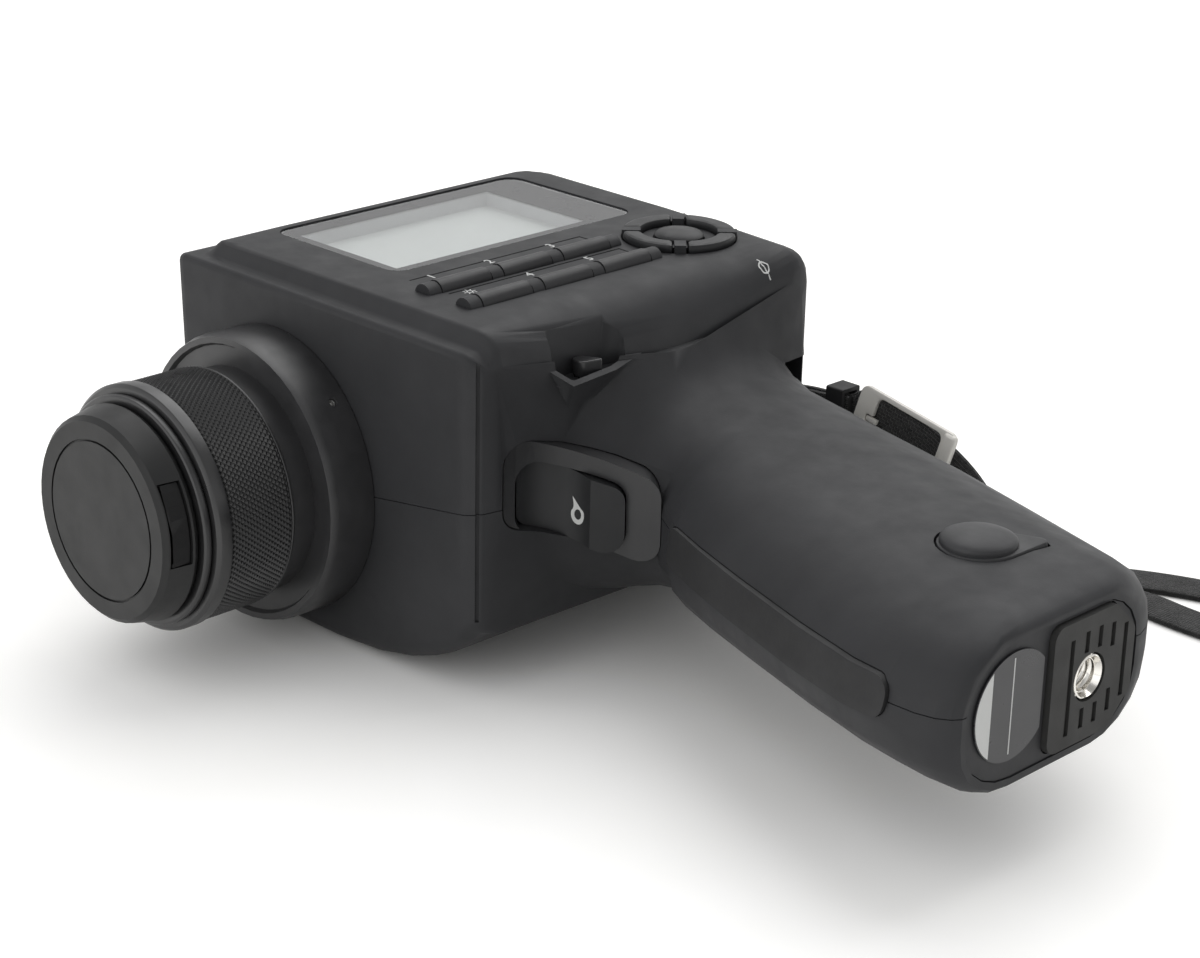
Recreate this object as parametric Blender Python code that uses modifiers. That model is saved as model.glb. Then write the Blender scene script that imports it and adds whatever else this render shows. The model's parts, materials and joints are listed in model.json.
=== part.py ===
"""A hand-held spot chroma meter, lying on its side with the display up.

Lengths are in metres. The parts are laid out in the meter's own frame, whose zero is
where the lens axis meets the front face: X runs down the grip, Y runs back from the
front face, and Z points out of the display. An empty carries the whole meter, so that
it stands on Z = 0 with its box centred on the origin.
"""

import math

import bmesh
import bpy
from mathutils import Vector

MM = 0.001

# Fits and wall values shared by many parts
GAP = 0.3 * MM
RUNNING_GAP = 0.4 * MM
WALL = 2.2 * MM
OVERRUN = 2.0 * MM
MERGE = 0.001 * MM

# Housing, measured from the lens axis and the front face
BODY_DEPTH = 98.0 * MM
BODY_ABOVE = 32.0 * MM
BODY_BELOW = 61.5 * MM
BODY_LEFT = 42.5 * MM
BODY_RIGHT = 34.5 * MM
UNDER_SWEEP = (45.0 * MM, 22.0 * MM)
UNDER_MEET = 20.0 * MM
END_ROUND = 3.4 * MM
FRONT_ROUND = 1.4 * MM
REAR_ROUND = 4.0 * MM
EDGE_ROUND = 1.4 * MM
UNDER_ROUND = 4.0 * MM
FLANK_FRONT_ROUND = 5.0 * MM
FLANK_REAR_ROUND = 3.4 * MM

# Rounding from the display side into the flank: how far back, and how large
FLANK_TOP_ROUNDS = (
    (0.0 * MM, 5.5 * MM),
    (10.0 * MM, 6.0 * MM),
    (30.0 * MM, 12.5 * MM),
    (74.0 * MM, 12.5 * MM),
    (92.0 * MM, 6.5 * MM),
    (98.0 * MM, 6.0 * MM),
)

# The raised part of the display side, inset from the front and from the meter's top end
LEDGE_DEPTH = 3.2 * MM
LEDGE_DROP = 3.2 * MM
LEDGE_RUN = 3.4 * MM
LEDGE_END_DEPTH = 2.6 * MM
LEDGE_CORNER = 4.0 * MM
GROOVE_WIDTH = 0.9 * MM
GROOVE_DEPTH = 0.7 * MM

# Seam between the two shells
SEAM_LOW = 0.0 * MM
SEAM_HIGH = 6.8 * MM
SEAM_GRIP = 3.0 * MM
SEAM_RISE_FROM = 17.0 * MM
SEAM_FALL_TO = 95.0 * MM

# Grip
GRIP_LENGTH = 115.7 * MM
GRIP_HALF = 19.0 * MM
GRIP_END_WALL = 1.2 * MM

# Lens
FLANGE_RADIUS = 31.0 * MM
FLANGE_LENGTH = 11.3 * MM
FLANGE_BEVEL = 1.9 * MM
FLANGE_SPIGOT_RADIUS = 27.5 * MM
FLANGE_SPIGOT_DEPTH = 5.0 * MM
FLANGE_BORE = 23.0 * MM
HELICOID_RADIUS = 24.2 * MM
HELICOID_FRONT = 15.8 * MM
FOCUS_REAR = 16.2 * MM
FOCUS_FRONT = 36.0 * MM
FOCUS_RADIUS = 25.6 * MM
FOCUS_LIP_RADIUS = 25.9 * MM
FOCUS_LIP_LENGTH = 3.4 * MM
FOCUS_LIP_BEVEL = 0.7 * MM
KNURL_DEPTH = 0.5 * MM
FOCUS_BORE = 21.8 * MM
BARREL_RADIUS = 21.4 * MM
BARREL_BORE = 19.4 * MM
BARREL_FRONT = 38.0 * MM
BARREL_REAR = 4.0 * MM
BARREL_LIP = 2.0 * MM
FRONT_GLASS_RADIUS = 17.2 * MM
FRONT_GLASS_SAG = 2.6 * MM
FRONT_GLASS_EDGE = 2.4 * MM
FRONT_GLASS_AT = 28.0 * MM
RETAINER_LENGTH = 2.4 * MM
LENS_STEPS = 48

# Lens cap
CAP_FRONT = 45.8 * MM
CAP_REAR = 38.4 * MM
CAP_RADIUS = 22.8 * MM
CAP_FACE_RADIUS = 21.6 * MM
CAP_CHAMFER = 1.0 * MM
CAP_WALL = 1.8 * MM
CAP_DISC_RADIUS = 16.5 * MM
CAP_GROOVE_WIDTH = 0.5 * MM
CAP_GROOVE_DEPTH = 0.5 * MM
CAP_PLUG_RADIUS = 19.0 * MM
CAP_PLUG_REAR = 34.9 * MM
CAP_PLUG_WALL = 2.6 * MM
CAP_TAB_WIDTH = 16.5 * MM
CAP_TAB_DEPTH = 4.0 * MM
CAP_TAB_BACK = 1.6 * MM
CAP_TAB_INSET = 0.7 * MM
CAP_TAB_LENGTH = 5.6 * MM
CAP_TAB_TRAVEL = 1.2 * MM
CAP_TURN = math.radians(-12)

# Display window and the module under it
WINDOW_X = (-24.3 * MM, 15.7 * MM)
WINDOW_Y = (19.1 * MM, 89.2 * MM)
WINDOW_CORNER = 3.6 * MM
WINDOW_SUNK = 0.2 * MM
WINDOW_THICK = 1.4 * MM
WINDOW_SEAT = 1.6 * MM
SCREEN_X = (-19.5 * MM, 12.3 * MM)
SCREEN_Y = (22.2 * MM, 77.0 * MM)
SCREEN_GAP = 0.6 * MM
MODULE_THICK = 4.6 * MM
MODULE_BORDER = 3.0 * MM

# Keys: two rows of three rounded bars, with a low block of the shell between bars
KEY_ROWS_X = (27.6 * MM, 39.8 * MM)
KEY_WIDTH = 4.8 * MM
KEY_RISE = 2.2 * MM
KEY_START_Y = 15.4 * MM
KEY_PITCH = 17.2 * MM
KEY_COUNT = 3
KEY_BLOCK = 3.0 * MM
KEY_BLOCK_DROP = 0.3 * MM
KEY_TRAVEL = 0.8 * MM
KEY_LINES = (21.6 * MM, 33.6 * MM)
KEY_LINE_Y = (17.4 * MM, 66.4 * MM)
KEY_LINE_TURN = 4.0 * MM
KEY_LINE_WIDTH = 0.5 * MM
KEY_LINE_DEPTH = 0.35 * MM

# Direction keys round a middle button, in a shallow round well
PAD_X = 36.2 * MM
PAD_Y = 82.3 * MM
PAD_RADIUS = 12.4 * MM
PAD_INNER = 8.4 * MM
PAD_RISE = 1.9 * MM
PAD_SINK = 0.5 * MM
PAD_WELL = 1.4 * MM
PAD_SPLIT = 3.2 * MM
PAD_BLOCK = 2.4 * MM
PAD_ROUND = 0.8 * MM
MIDDLE_RADIUS = 5.4 * MM
MIDDLE_RISE = 1.3 * MM
MIDDLE_DOME = 0.6 * MM
PAD_STEM = 3.2 * MM

# Boards and mats under the keys
MAT_THICK = 1.6 * MM
MAT_CLEAR = 1.1 * MM
MAT_EDGE = 1.8 * MM
BOARD_THICK = 1.6 * MM
BOARD_X = (-19.0 * MM, 48.0 * MM)
BOARD_Y = (9.0 * MM, 93.0 * MM)
BOARD_Z = 29.0 * MM

# Optics behind the lens
BENCH_Y = (10.5 * MM, 66.0 * MM)
BENCH_HALF = 19.5 * MM
BENCH_WALL = 2.0 * MM
BENCH_WINDOW = 16.0 * MM
MIRROR_HALF = 15.0 * MM
MIRROR_THICK = 1.6 * MM
MIRROR_HOLE = 1.4 * MM
MIRROR_Y = 38.0 * MM
SENSOR_HALF = 9.0 * MM
SENSOR_RISE = 7.0 * MM
EYE_TUBE_RADIUS = 11.0 * MM
EYE_TUBE_BORE = 8.4 * MM
EYE_GLASS_THICK = 3.2 * MM
EYE_RING_RADIUS = 14.0 * MM
EYE_RING_LENGTH = 7.0 * MM
EYE_CUP_RADIUS = 16.0 * MM
EYE_CUP_LENGTH = 6.0 * MM
EYE_STEPS = 36

# Measuring button in its bezel, in the hollow where the grip meets the housing. Their
# outlines are seen from outside: along the hollow first, then up.
TRIGGER_X = 68.6 * MM
TRIGGER_Y = 21.6 * MM
TRIGGER_Z = 4.4 * MM
TRIGGER_TURN = math.radians(-42)
BEZEL_OUTLINE = (
    (-15.5 * MM, 17.2 * MM),
    (15.8 * MM, 6.8 * MM),
    (15.8 * MM, -11.8 * MM),
    (-15.5 * MM, -1.6 * MM),
)
BEZEL_CORNER = 4.2 * MM
BEZEL_OUT = 4.4 * MM
BEZEL_BACK = 6.2 * MM
BEZEL_HOLLOW_RADIUS = 27.0 * MM
BEZEL_HOLLOW_LOW = 1.3 * MM
BEZEL_HOLLOW_SHIFT = 1.1 * MM
BUTTON_OUTLINE = (
    (-12.9 * MM, 12.2 * MM),
    (8.8 * MM, 5.0 * MM),
    (8.8 * MM, -9.8 * MM),
    (-12.9 * MM, -2.6 * MM),
)
BUTTON_CORNER = 3.6 * MM
BUTTON_OUT = 1.3 * MM
BUTTON_BACK = 6.6 * MM
BUTTON_SCOOP_RADIUS = 9.4 * MM
BUTTON_SCOOP_LOW = 2.6 * MM
BUTTON_SCOOP_SHIFT = -5.8 * MM
BUTTON_TRAVEL = 2.0 * MM
SWITCH_THICK = 4.0 * MM
SWITCH_LONG = 12.0 * MM
SWITCH_TALL = 6.5 * MM
SWITCH_SHIFT = -2.0 * MM
ARM_REACH = 15.2 * MM
ARM_THICK = 1.6 * MM

# Selector in its shelf beside the keys
SHELF_RIM = (
    (61.3 * MM, 18.0 * MM, 33.6 * MM),
    (66.0 * MM, 21.6 * MM, 30.3 * MM),
    (64.4 * MM, 35.0 * MM, 30.3 * MM),
    (61.8 * MM, 45.0 * MM, 31.0 * MM),
)
SHELF_FOOT = ((61.5 * MM, 24.0 * MM, 22.3 * MM), (61.5 * MM, 29.5 * MM, 22.3 * MM))
SHELF_BACK = 57.0 * MM
POCKET_OUTLINE = (
    (58.2 * MM, 20.4 * MM),
    (61.8 * MM, 19.9 * MM),
    (65.0 * MM, 22.4 * MM),
    (63.5 * MM, 34.4 * MM),
    (61.0 * MM, 43.4 * MM),
    (58.2 * MM, 36.6 * MM),
)
POCKET_CORNER = 1.2 * MM
POCKET_FLOOR = 29.4 * MM
POCKET_TUB_X = 56.0 * MM
POCKET_TUB_Y = (18.2 * MM, 46.0 * MM)
KNOB_X = 60.7 * MM
KNOB_Y = 29.1 * MM
KNOB_RADIUS = 2.0 * MM
KNOB_TIP = 4.0 * MM
KNOB_TIP_HALF = 0.4 * MM
KNOB_RISE = 3.4 * MM
KNOB_STEM_RADIUS = 1.4 * MM
KNOB_STEM_DEEP = 1.6 * MM
KNOB_TURN = math.radians(52)

# Rubber strip along the front of the grip
STRIP_X = (89.0 * MM, 163.9 * MM)
STRIP_Z = (-0.4 * MM, 7.0 * MM)
STRIP_CORNER = 3.0 * MM
STRIP_PROUD = 0.9 * MM
STRIP_PROUD_TOP = 0.5 * MM
STRIP_PROUD_FROM = 130.0 * MM
STRIP_DEEP = 1.2 * MM

# End of the grip
BASE_THICK = 4.0 * MM
FOOT_Y = (30.6 * MM, 55.3 * MM)
FOOT_HALF = 12.4 * MM
FOOT_TAPER = (6.4 * MM, 6.2 * MM)
FOOT_PROUD = 1.0 * MM
FOOT_SUNK = 0.8 * MM
FOOT_CORNER = 2.6 * MM
FOOT_SLOT = 1.3 * MM
FOOT_SLOT_DEEP = 0.7 * MM
SOCKET_Y = 42.0 * MM
SOCKET_RADIUS = 4.4 * MM
SOCKET_BORE = 3.2 * MM
SOCKET_LENGTH = 12.0 * MM
SOCKET_BOSS = 7.0 * MM
LABEL_Y = (9.6 * MM, 29.0 * MM)
LABEL_HALF = 11.4 * MM
LABEL_TAPER = (5.2 * MM, 5.0 * MM)
LABEL_CORNER = 1.8 * MM
LABEL_THICK = 0.3 * MM

# Power: two cells side by side in a tray, behind a cover on the hidden side
CELL_RADIUS = 7.1 * MM
CELL_LENGTH = 49.5 * MM
CELL_NUB_RADIUS = 2.7 * MM
CELL_NUB = 1.0 * MM
CELL_START = 86.0 * MM
CELL_SPACING = 16.0 * MM
CELLS_Y = 54.0 * MM
CELLS_Z = -1.5 * MM
TRAY_WALL = 1.6 * MM
TRAY_SIDE = 1.2 * MM
RIB_X = (109.2 * MM, 111.4 * MM)
RIB_HALF = 8.0 * MM
CONTACT_THICK = 0.4 * MM
CONTACT_HALF = 4.0 * MM
COVER_HALF = 18.6 * MM
COVER_LIP = 1.5 * MM

# Jack and its rubber cover
JACK_X = 151.9 * MM
JACK_Y = 41.6 * MM
JACK_COVER_RADIUS = 8.0 * MM
JACK_COVER_TIP = 13.3 * MM
JACK_TIP_HALF = 1.0 * MM
JACK_TURN = math.radians(56)
JACK_COVER_THICK = 3.4 * MM
JACK_POCKET_FLOOR = 14.4 * MM
JACK_DOME = 0.9 * MM
JACK_BLOCK = (9.0 * MM, 7.4 * MM, 6.0 * MM)
JACK_MOUTH = (5.6 * MM, 2.6 * MM, 4.0 * MM)

# Wrist strap: a bar in a bay at the rear corner, flat webbing, a keeper and a buckle
BAY_X = 53.0 * MM
BAY_Y = 88.3 * MM
BAY_Z = (2.5 * MM, 19.4 * MM)
BAY_REAR = 96.4 * MM
BAY_MOUTH = 11.5 * MM
LUG_X = 57.2 * MM
LUG_Y = 92.6 * MM
LUG_RADIUS = 1.1 * MM
LUG_SEATED = 1.2 * MM
STRAP_WIDTH = 10.5 * MM
STRAP_FOLDED_SHARE = 0.66
STRAP_THICK = 1.3 * MM
STRAP_BEND = 2.1 * MM
STRAP_LEAVES = 68
STRAP_LOOP_Z = 9.0 * MM
STRAP_START = (
    (72.9 * MM, 99.1 * MM, 8.2 * MM, 0.66),
    (70.4 * MM, 99.1 * MM, 8.0 * MM, 0.62),
    (67.8 * MM, 99.0 * MM, 7.7 * MM, 0.62),
    (65.0 * MM, 98.9 * MM, 7.3 * MM, 0.64),
    (62.4 * MM, 98.4 * MM, 7.2 * MM, 0.66),
    (60.9 * MM, 96.6 * MM, 7.5 * MM, 0.66),
    (59.8 * MM, 94.0 * MM, 8.4 * MM, 0.66),
)
STRAP_LOOP_OUT = (
    (56.4 * MM, 96.4 * MM, 7.5 * MM, 0.66),
    (57.9 * MM, 99.4 * MM, 7.0 * MM, 0.66),
    (60.6 * MM, 100.9 * MM, 6.9 * MM, 0.66),
    (65.0 * MM, 101.0 * MM, 7.3 * MM, 0.64),
    (68.6 * MM, 100.9 * MM, 7.8 * MM, 0.62),
    (72.4 * MM, 100.9 * MM, 8.2 * MM, 0.66),
)
STRAP_RUN = (
    (76.0 * MM, 100.9 * MM, 8.4 * MM, 0.0),
    (84.0 * MM, 100.6 * MM, 7.4 * MM, 0.0),
    (92.0 * MM, 100.7 * MM, 5.9 * MM, 0.0),
    (100.0 * MM, 101.1 * MM, 4.0 * MM, 0.0),
    (103.8 * MM, 102.4 * MM, 0.2 * MM, 0.05),
    (106.4 * MM, 103.8 * MM, -5.8 * MM, 0.12),
    (108.0 * MM, 107.0 * MM, -11.6 * MM, 0.25),
    (108.8 * MM, 111.5 * MM, -17.6 * MM, 0.40),
    (109.2 * MM, 117.5 * MM, -23.5 * MM, 0.58),
    (109.0 * MM, 124.5 * MM, -29.2 * MM, 0.78),
    (109.8 * MM, 131.5 * MM, -32.6 * MM, 0.94),
    (112.6 * MM, 137.6 * MM, -33.7 * MM, 1.0),
    (117.2 * MM, 141.6 * MM, -33.7 * MM, 1.0),
    (123.0 * MM, 143.2 * MM, -33.7 * MM, 1.0),
    (130.9 * MM, 142.6 * MM, -33.7 * MM, 1.0),
    (140.0 * MM, 142.4 * MM, -33.7 * MM, 1.0),
    (154.0 * MM, 143.0 * MM, -33.7 * MM, 1.0),
    (170.0 * MM, 144.0 * MM, -33.7 * MM, 1.0),
    (184.0 * MM, 145.6 * MM, -33.7 * MM, 1.0),
    (194.0 * MM, 148.6 * MM, -33.7 * MM, 1.0),
    (200.4 * MM, 154.0 * MM, -33.7 * MM, 1.0),
    (201.4 * MM, 161.4 * MM, -33.7 * MM, 1.0),
    (196.4 * MM, 167.4 * MM, -33.7 * MM, 1.0),
    (187.0 * MM, 170.2 * MM, -33.7 * MM, 1.0),
    (174.0 * MM, 170.2 * MM, -33.7 * MM, 1.0),
    (158.0 * MM, 167.6 * MM, -33.7 * MM, 1.0),
    (142.0 * MM, 163.4 * MM, -33.7 * MM, 1.0),
    (128.0 * MM, 158.8 * MM, -33.7 * MM, 1.0),
    (120.6 * MM, 155.8 * MM, -33.7 * MM, 1.0),
    (114.2 * MM, 152.2 * MM, -33.6 * MM, 1.0),
    (108.6 * MM, 147.6 * MM, -33.0 * MM, 0.96),
    (104.6 * MM, 142.2 * MM, -31.4 * MM, 0.88),
    (102.2 * MM, 136.0 * MM, -28.4 * MM, 0.74),
    (101.0 * MM, 129.4 * MM, -24.4 * MM, 0.60),
    (100.4 * MM, 122.6 * MM, -19.8 * MM, 0.46),
    (100.2 * MM, 116.2 * MM, -15.0 * MM, 0.34),
    (100.2 * MM, 110.6 * MM, -10.2 * MM, 0.22),
    (99.8 * MM, 106.2 * MM, -5.4 * MM, 0.11),
    (98.4 * MM, 103.6 * MM, 0.2 * MM, 0.03),
    (95.2 * MM, 102.6 * MM, 4.0 * MM, 0.0),
    (90.0 * MM, 102.4 * MM, 6.3 * MM, 0.0),
)
KEEPER_X = (67.6 * MM, 72.2 * MM)
KEEPER_Y = (97.9 * MM, 101.9 * MM)
KEEPER_WALL = 0.9 * MM
KEEPER_SPARE = 0.5 * MM
KEEPER_TALL_SHARE = 0.68
BUCKLE_X = (74.6 * MM, 101.0 * MM)
BUCKLE_FALL = math.radians(11.4)
BUCKLE_Y = 98.9 * MM
BUCKLE_HALF = 7.6 * MM
BUCKLE_BAR = 2.0 * MM
BUCKLE_THICK = 1.2 * MM

# Screws that close the shells
SCREW_HEAD_RADIUS = 2.9 * MM
SCREW_HEAD = 1.6 * MM
SCREW_RADIUS = 1.4 * MM
SCREW_LENGTH = 14.0 * MM
SCREW_SUNK = 5.0 * MM
BOSS_RADIUS = 4.4 * MM
HOUSING_SCREWS = ((-25.0 * MM, 14.0 * MM), (-25.0 * MM, 88.0 * MM), (46.0 * MM, 12.0 * MM))
GRIP_SCREWS = ((164.0 * MM, 20.0 * MM),)

# Stations along the housing, as shares of its length. They crowd where its edges turn.
STATION_SHARES = (
    0.0, 0.008, 0.022, 0.031, 0.040, 0.050, 0.060, 0.072, 0.10, 0.30, 0.52, 0.66, 0.76,
    0.84, 0.865, 0.89, 0.912, 0.932, 0.951, 0.967, 0.981, 0.992, 1.0,
)

# Sections of the grip, from the housing to its end: how far along, where the front and
# the rear are as shares of the body's depth, how thick above and below the lens axis as
# shares of the grip's half thickness, how much of the front and of the rear is rounded
# off as shares of the depth there, and the same for the height above and below
GRIP_SECTION_SHARES = (
    (0.013, 0.160, 0.985, 1.56, 1.03, 0.40, 0.47, 0.94),
    (0.035, 0.215, 0.985, 1.36, 1.02, 0.40, 0.47, 0.94),
    (0.062, 0.262, 0.982, 1.20, 1.005, 0.40, 0.46, 0.93),
    (0.100, 0.300, 0.978, 1.10, 0.985, 0.40, 0.45, 0.93),
    (0.160, 0.322, 0.970, 1.03, 0.96, 0.40, 0.44, 0.93),
    (0.212, 0.290, 0.962, 1.01, 0.945, 0.40, 0.43, 0.93),
    (0.255, 0.243, 0.953, 1.00, 0.94, 0.41, 0.42, 0.93),
    (0.350, 0.196, 0.932, 0.99, 0.93, 0.42, 0.42, 0.93),
    (0.471, 0.144, 0.900, 0.975, 0.90, 0.42, 0.42, 0.93),
    (0.661, 0.070, 0.838, 0.95, 0.875, 0.42, 0.42, 0.93),
    (0.800, 0.026, 0.786, 0.93, 0.865, 0.42, 0.40, 0.92),
    (0.877, 0.018, 0.752, 0.915, 0.87, 0.40, 0.37, 0.90),
    (0.938, 0.022, 0.712, 0.90, 0.88, 0.37, 0.33, 0.86),
    (0.970, 0.032, 0.674, 0.872, 0.87, 0.34, 0.30, 0.84),
    (0.990, 0.048, 0.634, 0.825, 0.83, 0.31, 0.27, 0.82),
    (1.000, 0.065, 0.599, 0.775, 0.775, 0.28, 0.25, 0.80),
)
CORNER_STEPS = 5
SIDE_STEPS = 2
TOP_FAR_SHARES = (0.80, 0.58, 0.36, 0.17)
TOP_NEAR_STEPS = 4

BODY_END = BODY_BELOW + GRIP_LENGTH
METER_FRONT = -CAP_FRONT
METER_REAR = BODY_DEPTH + EYE_RING_LENGTH + EYE_CUP_LENGTH + GAP
METER_PLACE = (
    (BODY_ABOVE - BODY_END - FOOT_PROUD) / 2,
    -(METER_FRONT + METER_REAR) / 2,
    BODY_RIGHT,
)

FRONTWARD = (math.pi / 2, 0, 0)
DOWNGRIP = (0, math.pi / 2, 0)
UPRIGHT = (0, 0, 0)

DARK_SHELL = ((0.035, 0.036, 0.038, 1), 0.6, 0.0)
BLACK_PLASTIC = ((0.012, 0.012, 0.013, 1), 0.45, 0.0)
BLACK_METAL = ((0.014, 0.014, 0.015, 1), 0.38, 0.3)
SOFT_RUBBER = ((0.02, 0.02, 0.021, 1), 0.8, 0.0)
KEY_GREY = ((0.03, 0.03, 0.032, 1), 0.5, 0.0)
BRIGHT_METAL = ((0.7, 0.7, 0.7, 1), 0.2, 1.0)
BRASS_METAL = ((0.7, 0.5, 0.2, 1), 0.3, 1.0)
CLEAR_GLASS = ((0.5, 0.55, 0.6, 1), 0.05, 0.0)
BOARD_GREEN = ((0.02, 0.16, 0.07, 1), 0.5, 0.0)
SCREEN_GREY = ((0.42, 0.45, 0.42, 1), 0.4, 0.0)
CELL_SKIN = ((0.1, 0.25, 0.5, 1), 0.35, 0.0)
WEBBING = ((0.012, 0.012, 0.012, 1), 0.9, 0.0)
LABEL_GREY = ((0.05, 0.05, 0.055, 1), 0.5, 0.0)


def clear_scene():
    for item in list(bpy.data.objects):
        bpy.data.objects.remove(item, do_unlink=True)


def new_collection(name):
    collection = bpy.data.collections.new(name)
    bpy.context.scene.collection.children.link(collection)
    return collection


clear_scene()
PARTS = new_collection("chroma_meter")
CUTTERS = new_collection("cutters")
CARRIER = bpy.data.objects.new("meter_frame", None)
CARRIER.location = METER_PLACE
PARTS.objects.link(CARRIER)


def material_for(name, look):
    colour, roughness, metallic = look
    material = bpy.data.materials.new(name)
    material.use_nodes = True
    shader = material.node_tree.nodes["Principled BSDF"]
    shader.inputs["Base Color"].default_value = colour
    shader.inputs["Roughness"].default_value = roughness
    shader.inputs["Metallic"].default_value = metallic
    return material


def place(name, data, look, origin=(0, 0, 0), turn=UPRIGHT):
    """Puts a mesh or curve in the meter's frame. With no look it is a cutter."""
    item = bpy.data.objects.new(name, data)
    item.parent = CARRIER
    item.location = origin
    item.rotation_euler = turn
    if look is None:
        item.hide_render = True
        item.display_type = "WIRE"
        CUTTERS.objects.link(item)
    else:
        data.materials.append(material_for(name, look))
        PARTS.objects.link(item)
    return item


def mesh_from(name, form):
    bmesh.ops.recalc_face_normals(form, faces=form.faces)
    mesh = bpy.data.meshes.new(name)
    form.to_mesh(mesh)
    form.free()
    return mesh


def smooth(item, degrees=40):
    item.data.shade_smooth()
    item.data.set_sharp_from_angle(angle=math.radians(degrees))


def round_edges(item, width, segments=2):
    bevel = item.modifiers.new("rounded", "BEVEL")
    bevel.width = width
    bevel.segments = segments
    bevel.limit_method = "ANGLE"
    bevel.angle_limit = math.radians(40)
    return item


def block(name, low, high, look, corner=0, along=2, segments=4, origin=None, turn=UPRIGHT):
    """A box between two corners, with the edges along one axis rounded."""
    size = [high[i] - low[i] for i in range(3)]
    middle = [(high[i] + low[i]) / 2 for i in range(3)]
    form = bmesh.new()
    bmesh.ops.create_cube(form, size=1)
    bmesh.ops.scale(form, vec=size, verts=form.verts)
    if corner:
        edges = [
            edge
            for edge in form.edges
            if abs((edge.verts[0].co - edge.verts[1].co)[along]) > MERGE
        ]
        bmesh.ops.bevel(
            form, geom=edges, offset=corner, segments=segments, affect="EDGES", profile=0.5
        )
    if origin is None:
        origin = middle
    bmesh.ops.translate(form, vec=[middle[i] - origin[i] for i in range(3)], verts=form.verts)
    return place(name, mesh_from(name, form), look, origin, turn)


def centred_block(name, size, look, corner=0, along=2, origin=(0, 0, 0), turn=UPRIGHT, shift=(0, 0, 0)):
    """A box of a given size about its own origin, which may be turned."""
    form = bmesh.new()
    bmesh.ops.create_cube(form, size=1)
    bmesh.ops.scale(form, vec=size, verts=form.verts)
    if corner:
        edges = [
            edge
            for edge in form.edges
            if abs((edge.verts[0].co - edge.verts[1].co)[along]) > MERGE
        ]
        bmesh.ops.bevel(form, geom=edges, offset=corner, segments=4, affect="EDGES", profile=0.5)
    bmesh.ops.translate(form, vec=shift, verts=form.verts)
    return place(name, mesh_from(name, form), look, origin, turn)


def rod(name, radius, low, high, look, origin=(0, 0, 0), turn=UPRIGHT, steps=24):
    """A plain cylinder from low to high along its own Z."""
    form = bmesh.new()
    bmesh.ops.create_cone(
        form, cap_ends=True, segments=steps, radius1=radius, radius2=radius, depth=high - low
    )
    bmesh.ops.translate(form, vec=(0, 0, (high + low) / 2), verts=form.verts)
    item = place(name, mesh_from(name, form), look, origin, turn)
    smooth(item)
    return item


def turned(name, profile, look, origin=(0, 0, 0), turn=FRONTWARD, closed=True, steps=48):
    """A turned shape. The profile holds radius and height, outer side from top to bottom."""
    mesh = bpy.data.meshes.new(name)
    points = [(radius, 0, height) for radius, height in profile]
    links = [(i, i + 1) for i in range(len(points) - 1)]
    if closed:
        links.append((len(points) - 1, 0))
    mesh.from_pydata(points, links, [])
    item = place(name, mesh, look, origin, turn)
    screw = item.modifiers.new("turned", "SCREW")
    screw.axis = "Z"
    screw.angle = math.radians(360)
    screw.steps = steps
    screw.render_steps = steps
    screw.use_merge_vertices = True
    screw.merge_threshold = MERGE
    screw.use_normal_calculate = False
    screw.use_smooth_shade = False
    return item


def prism(name, outline, low, high, axis, look, origin=(0, 0, 0), turn=UPRIGHT):
    """An outline in the two other axes, in X, Y, Z order, drawn out along one axis."""
    others = [i for i in range(3) if i != axis]
    form = bmesh.new()
    corners = []
    for point in outline:
        where = [0, 0, 0]
        where[others[0]], where[others[1]] = point
        where[axis] = low
        corners.append(form.verts.new(where))
    face = form.faces.new(corners)
    drawn = bmesh.ops.extrude_face_region(form, geom=[face])
    far = [item for item in drawn["geom"] if isinstance(item, bmesh.types.BMVert)]
    shift = [0, 0, 0]
    shift[axis] = high - low
    bmesh.ops.translate(form, vec=shift, verts=far)
    return place(name, mesh_from(name, form), look, origin, turn)


def combine(item, other, operation):
    step = item.modifiers.new(operation.lower() + "_" + other.name, "BOOLEAN")
    step.operation = operation
    step.solver = "EXACT"
    step.object = other
    return item


def cut(item, *others):
    for other in others:
        combine(item, other, "DIFFERENCE")
    return item


def join(item, *others):
    for other in others:
        combine(item, other, "UNION")
    return item


def arc(centre, radius, start, end, steps):
    """Points along an arc, in degrees."""
    turns = [math.radians(start + (end - start) * i / steps) for i in range(steps + 1)]
    return [
        (centre[0] + radius * math.cos(turn), centre[1] + radius * math.sin(turn))
        for turn in turns
    ]


def corner(y, z, size_y, size_z, start):
    """The points of one rounded corner. Its sizes are signed, toward the inside."""
    points = []
    for i in range(CORNER_STEPS + 1):
        turn = math.radians(start + 90 * i / CORNER_STEPS)
        points.append(
            (
                y + size_y + abs(size_y) * math.cos(turn),
                z + size_z + abs(size_z) * math.sin(turn),
            )
        )
    return points


def between(a, b, count):
    return [
        (a[0] + (b[0] - a[0]) * i / (count + 1), a[1] + (b[1] - a[1]) * i / (count + 1))
        for i in range(1, count + 1)
    ]


def ring_of(corners, over):
    """Joins four corners, with the given points over the top side."""
    rear_top, front_top, front_under, rear_under = corners
    full = rear_top + over + front_top + between(front_top[-1], front_under[0], SIDE_STEPS)
    full += front_under + between(front_under[-1], rear_under[0], SIDE_STEPS)
    return full + rear_under + between(rear_under[-1], rear_top[0], SIDE_STEPS)


def ramp(table, place):
    """Reads a table of places and sizes, in straight lines between them."""
    if place <= table[0][0]:
        return table[0][1]
    for (a, low), (b, high) in zip(table, table[1:]):
        if place <= b:
            return low + (high - low) * (place - a) / (b - a)
    return table[-1][1]


def turned_off(inside, radius):
    """How far a rounded edge has fallen at a distance inside its outer face."""
    if inside >= radius:
        return 0
    return radius - math.sqrt(max(0, radius**2 - (radius - inside) ** 2))


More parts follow.
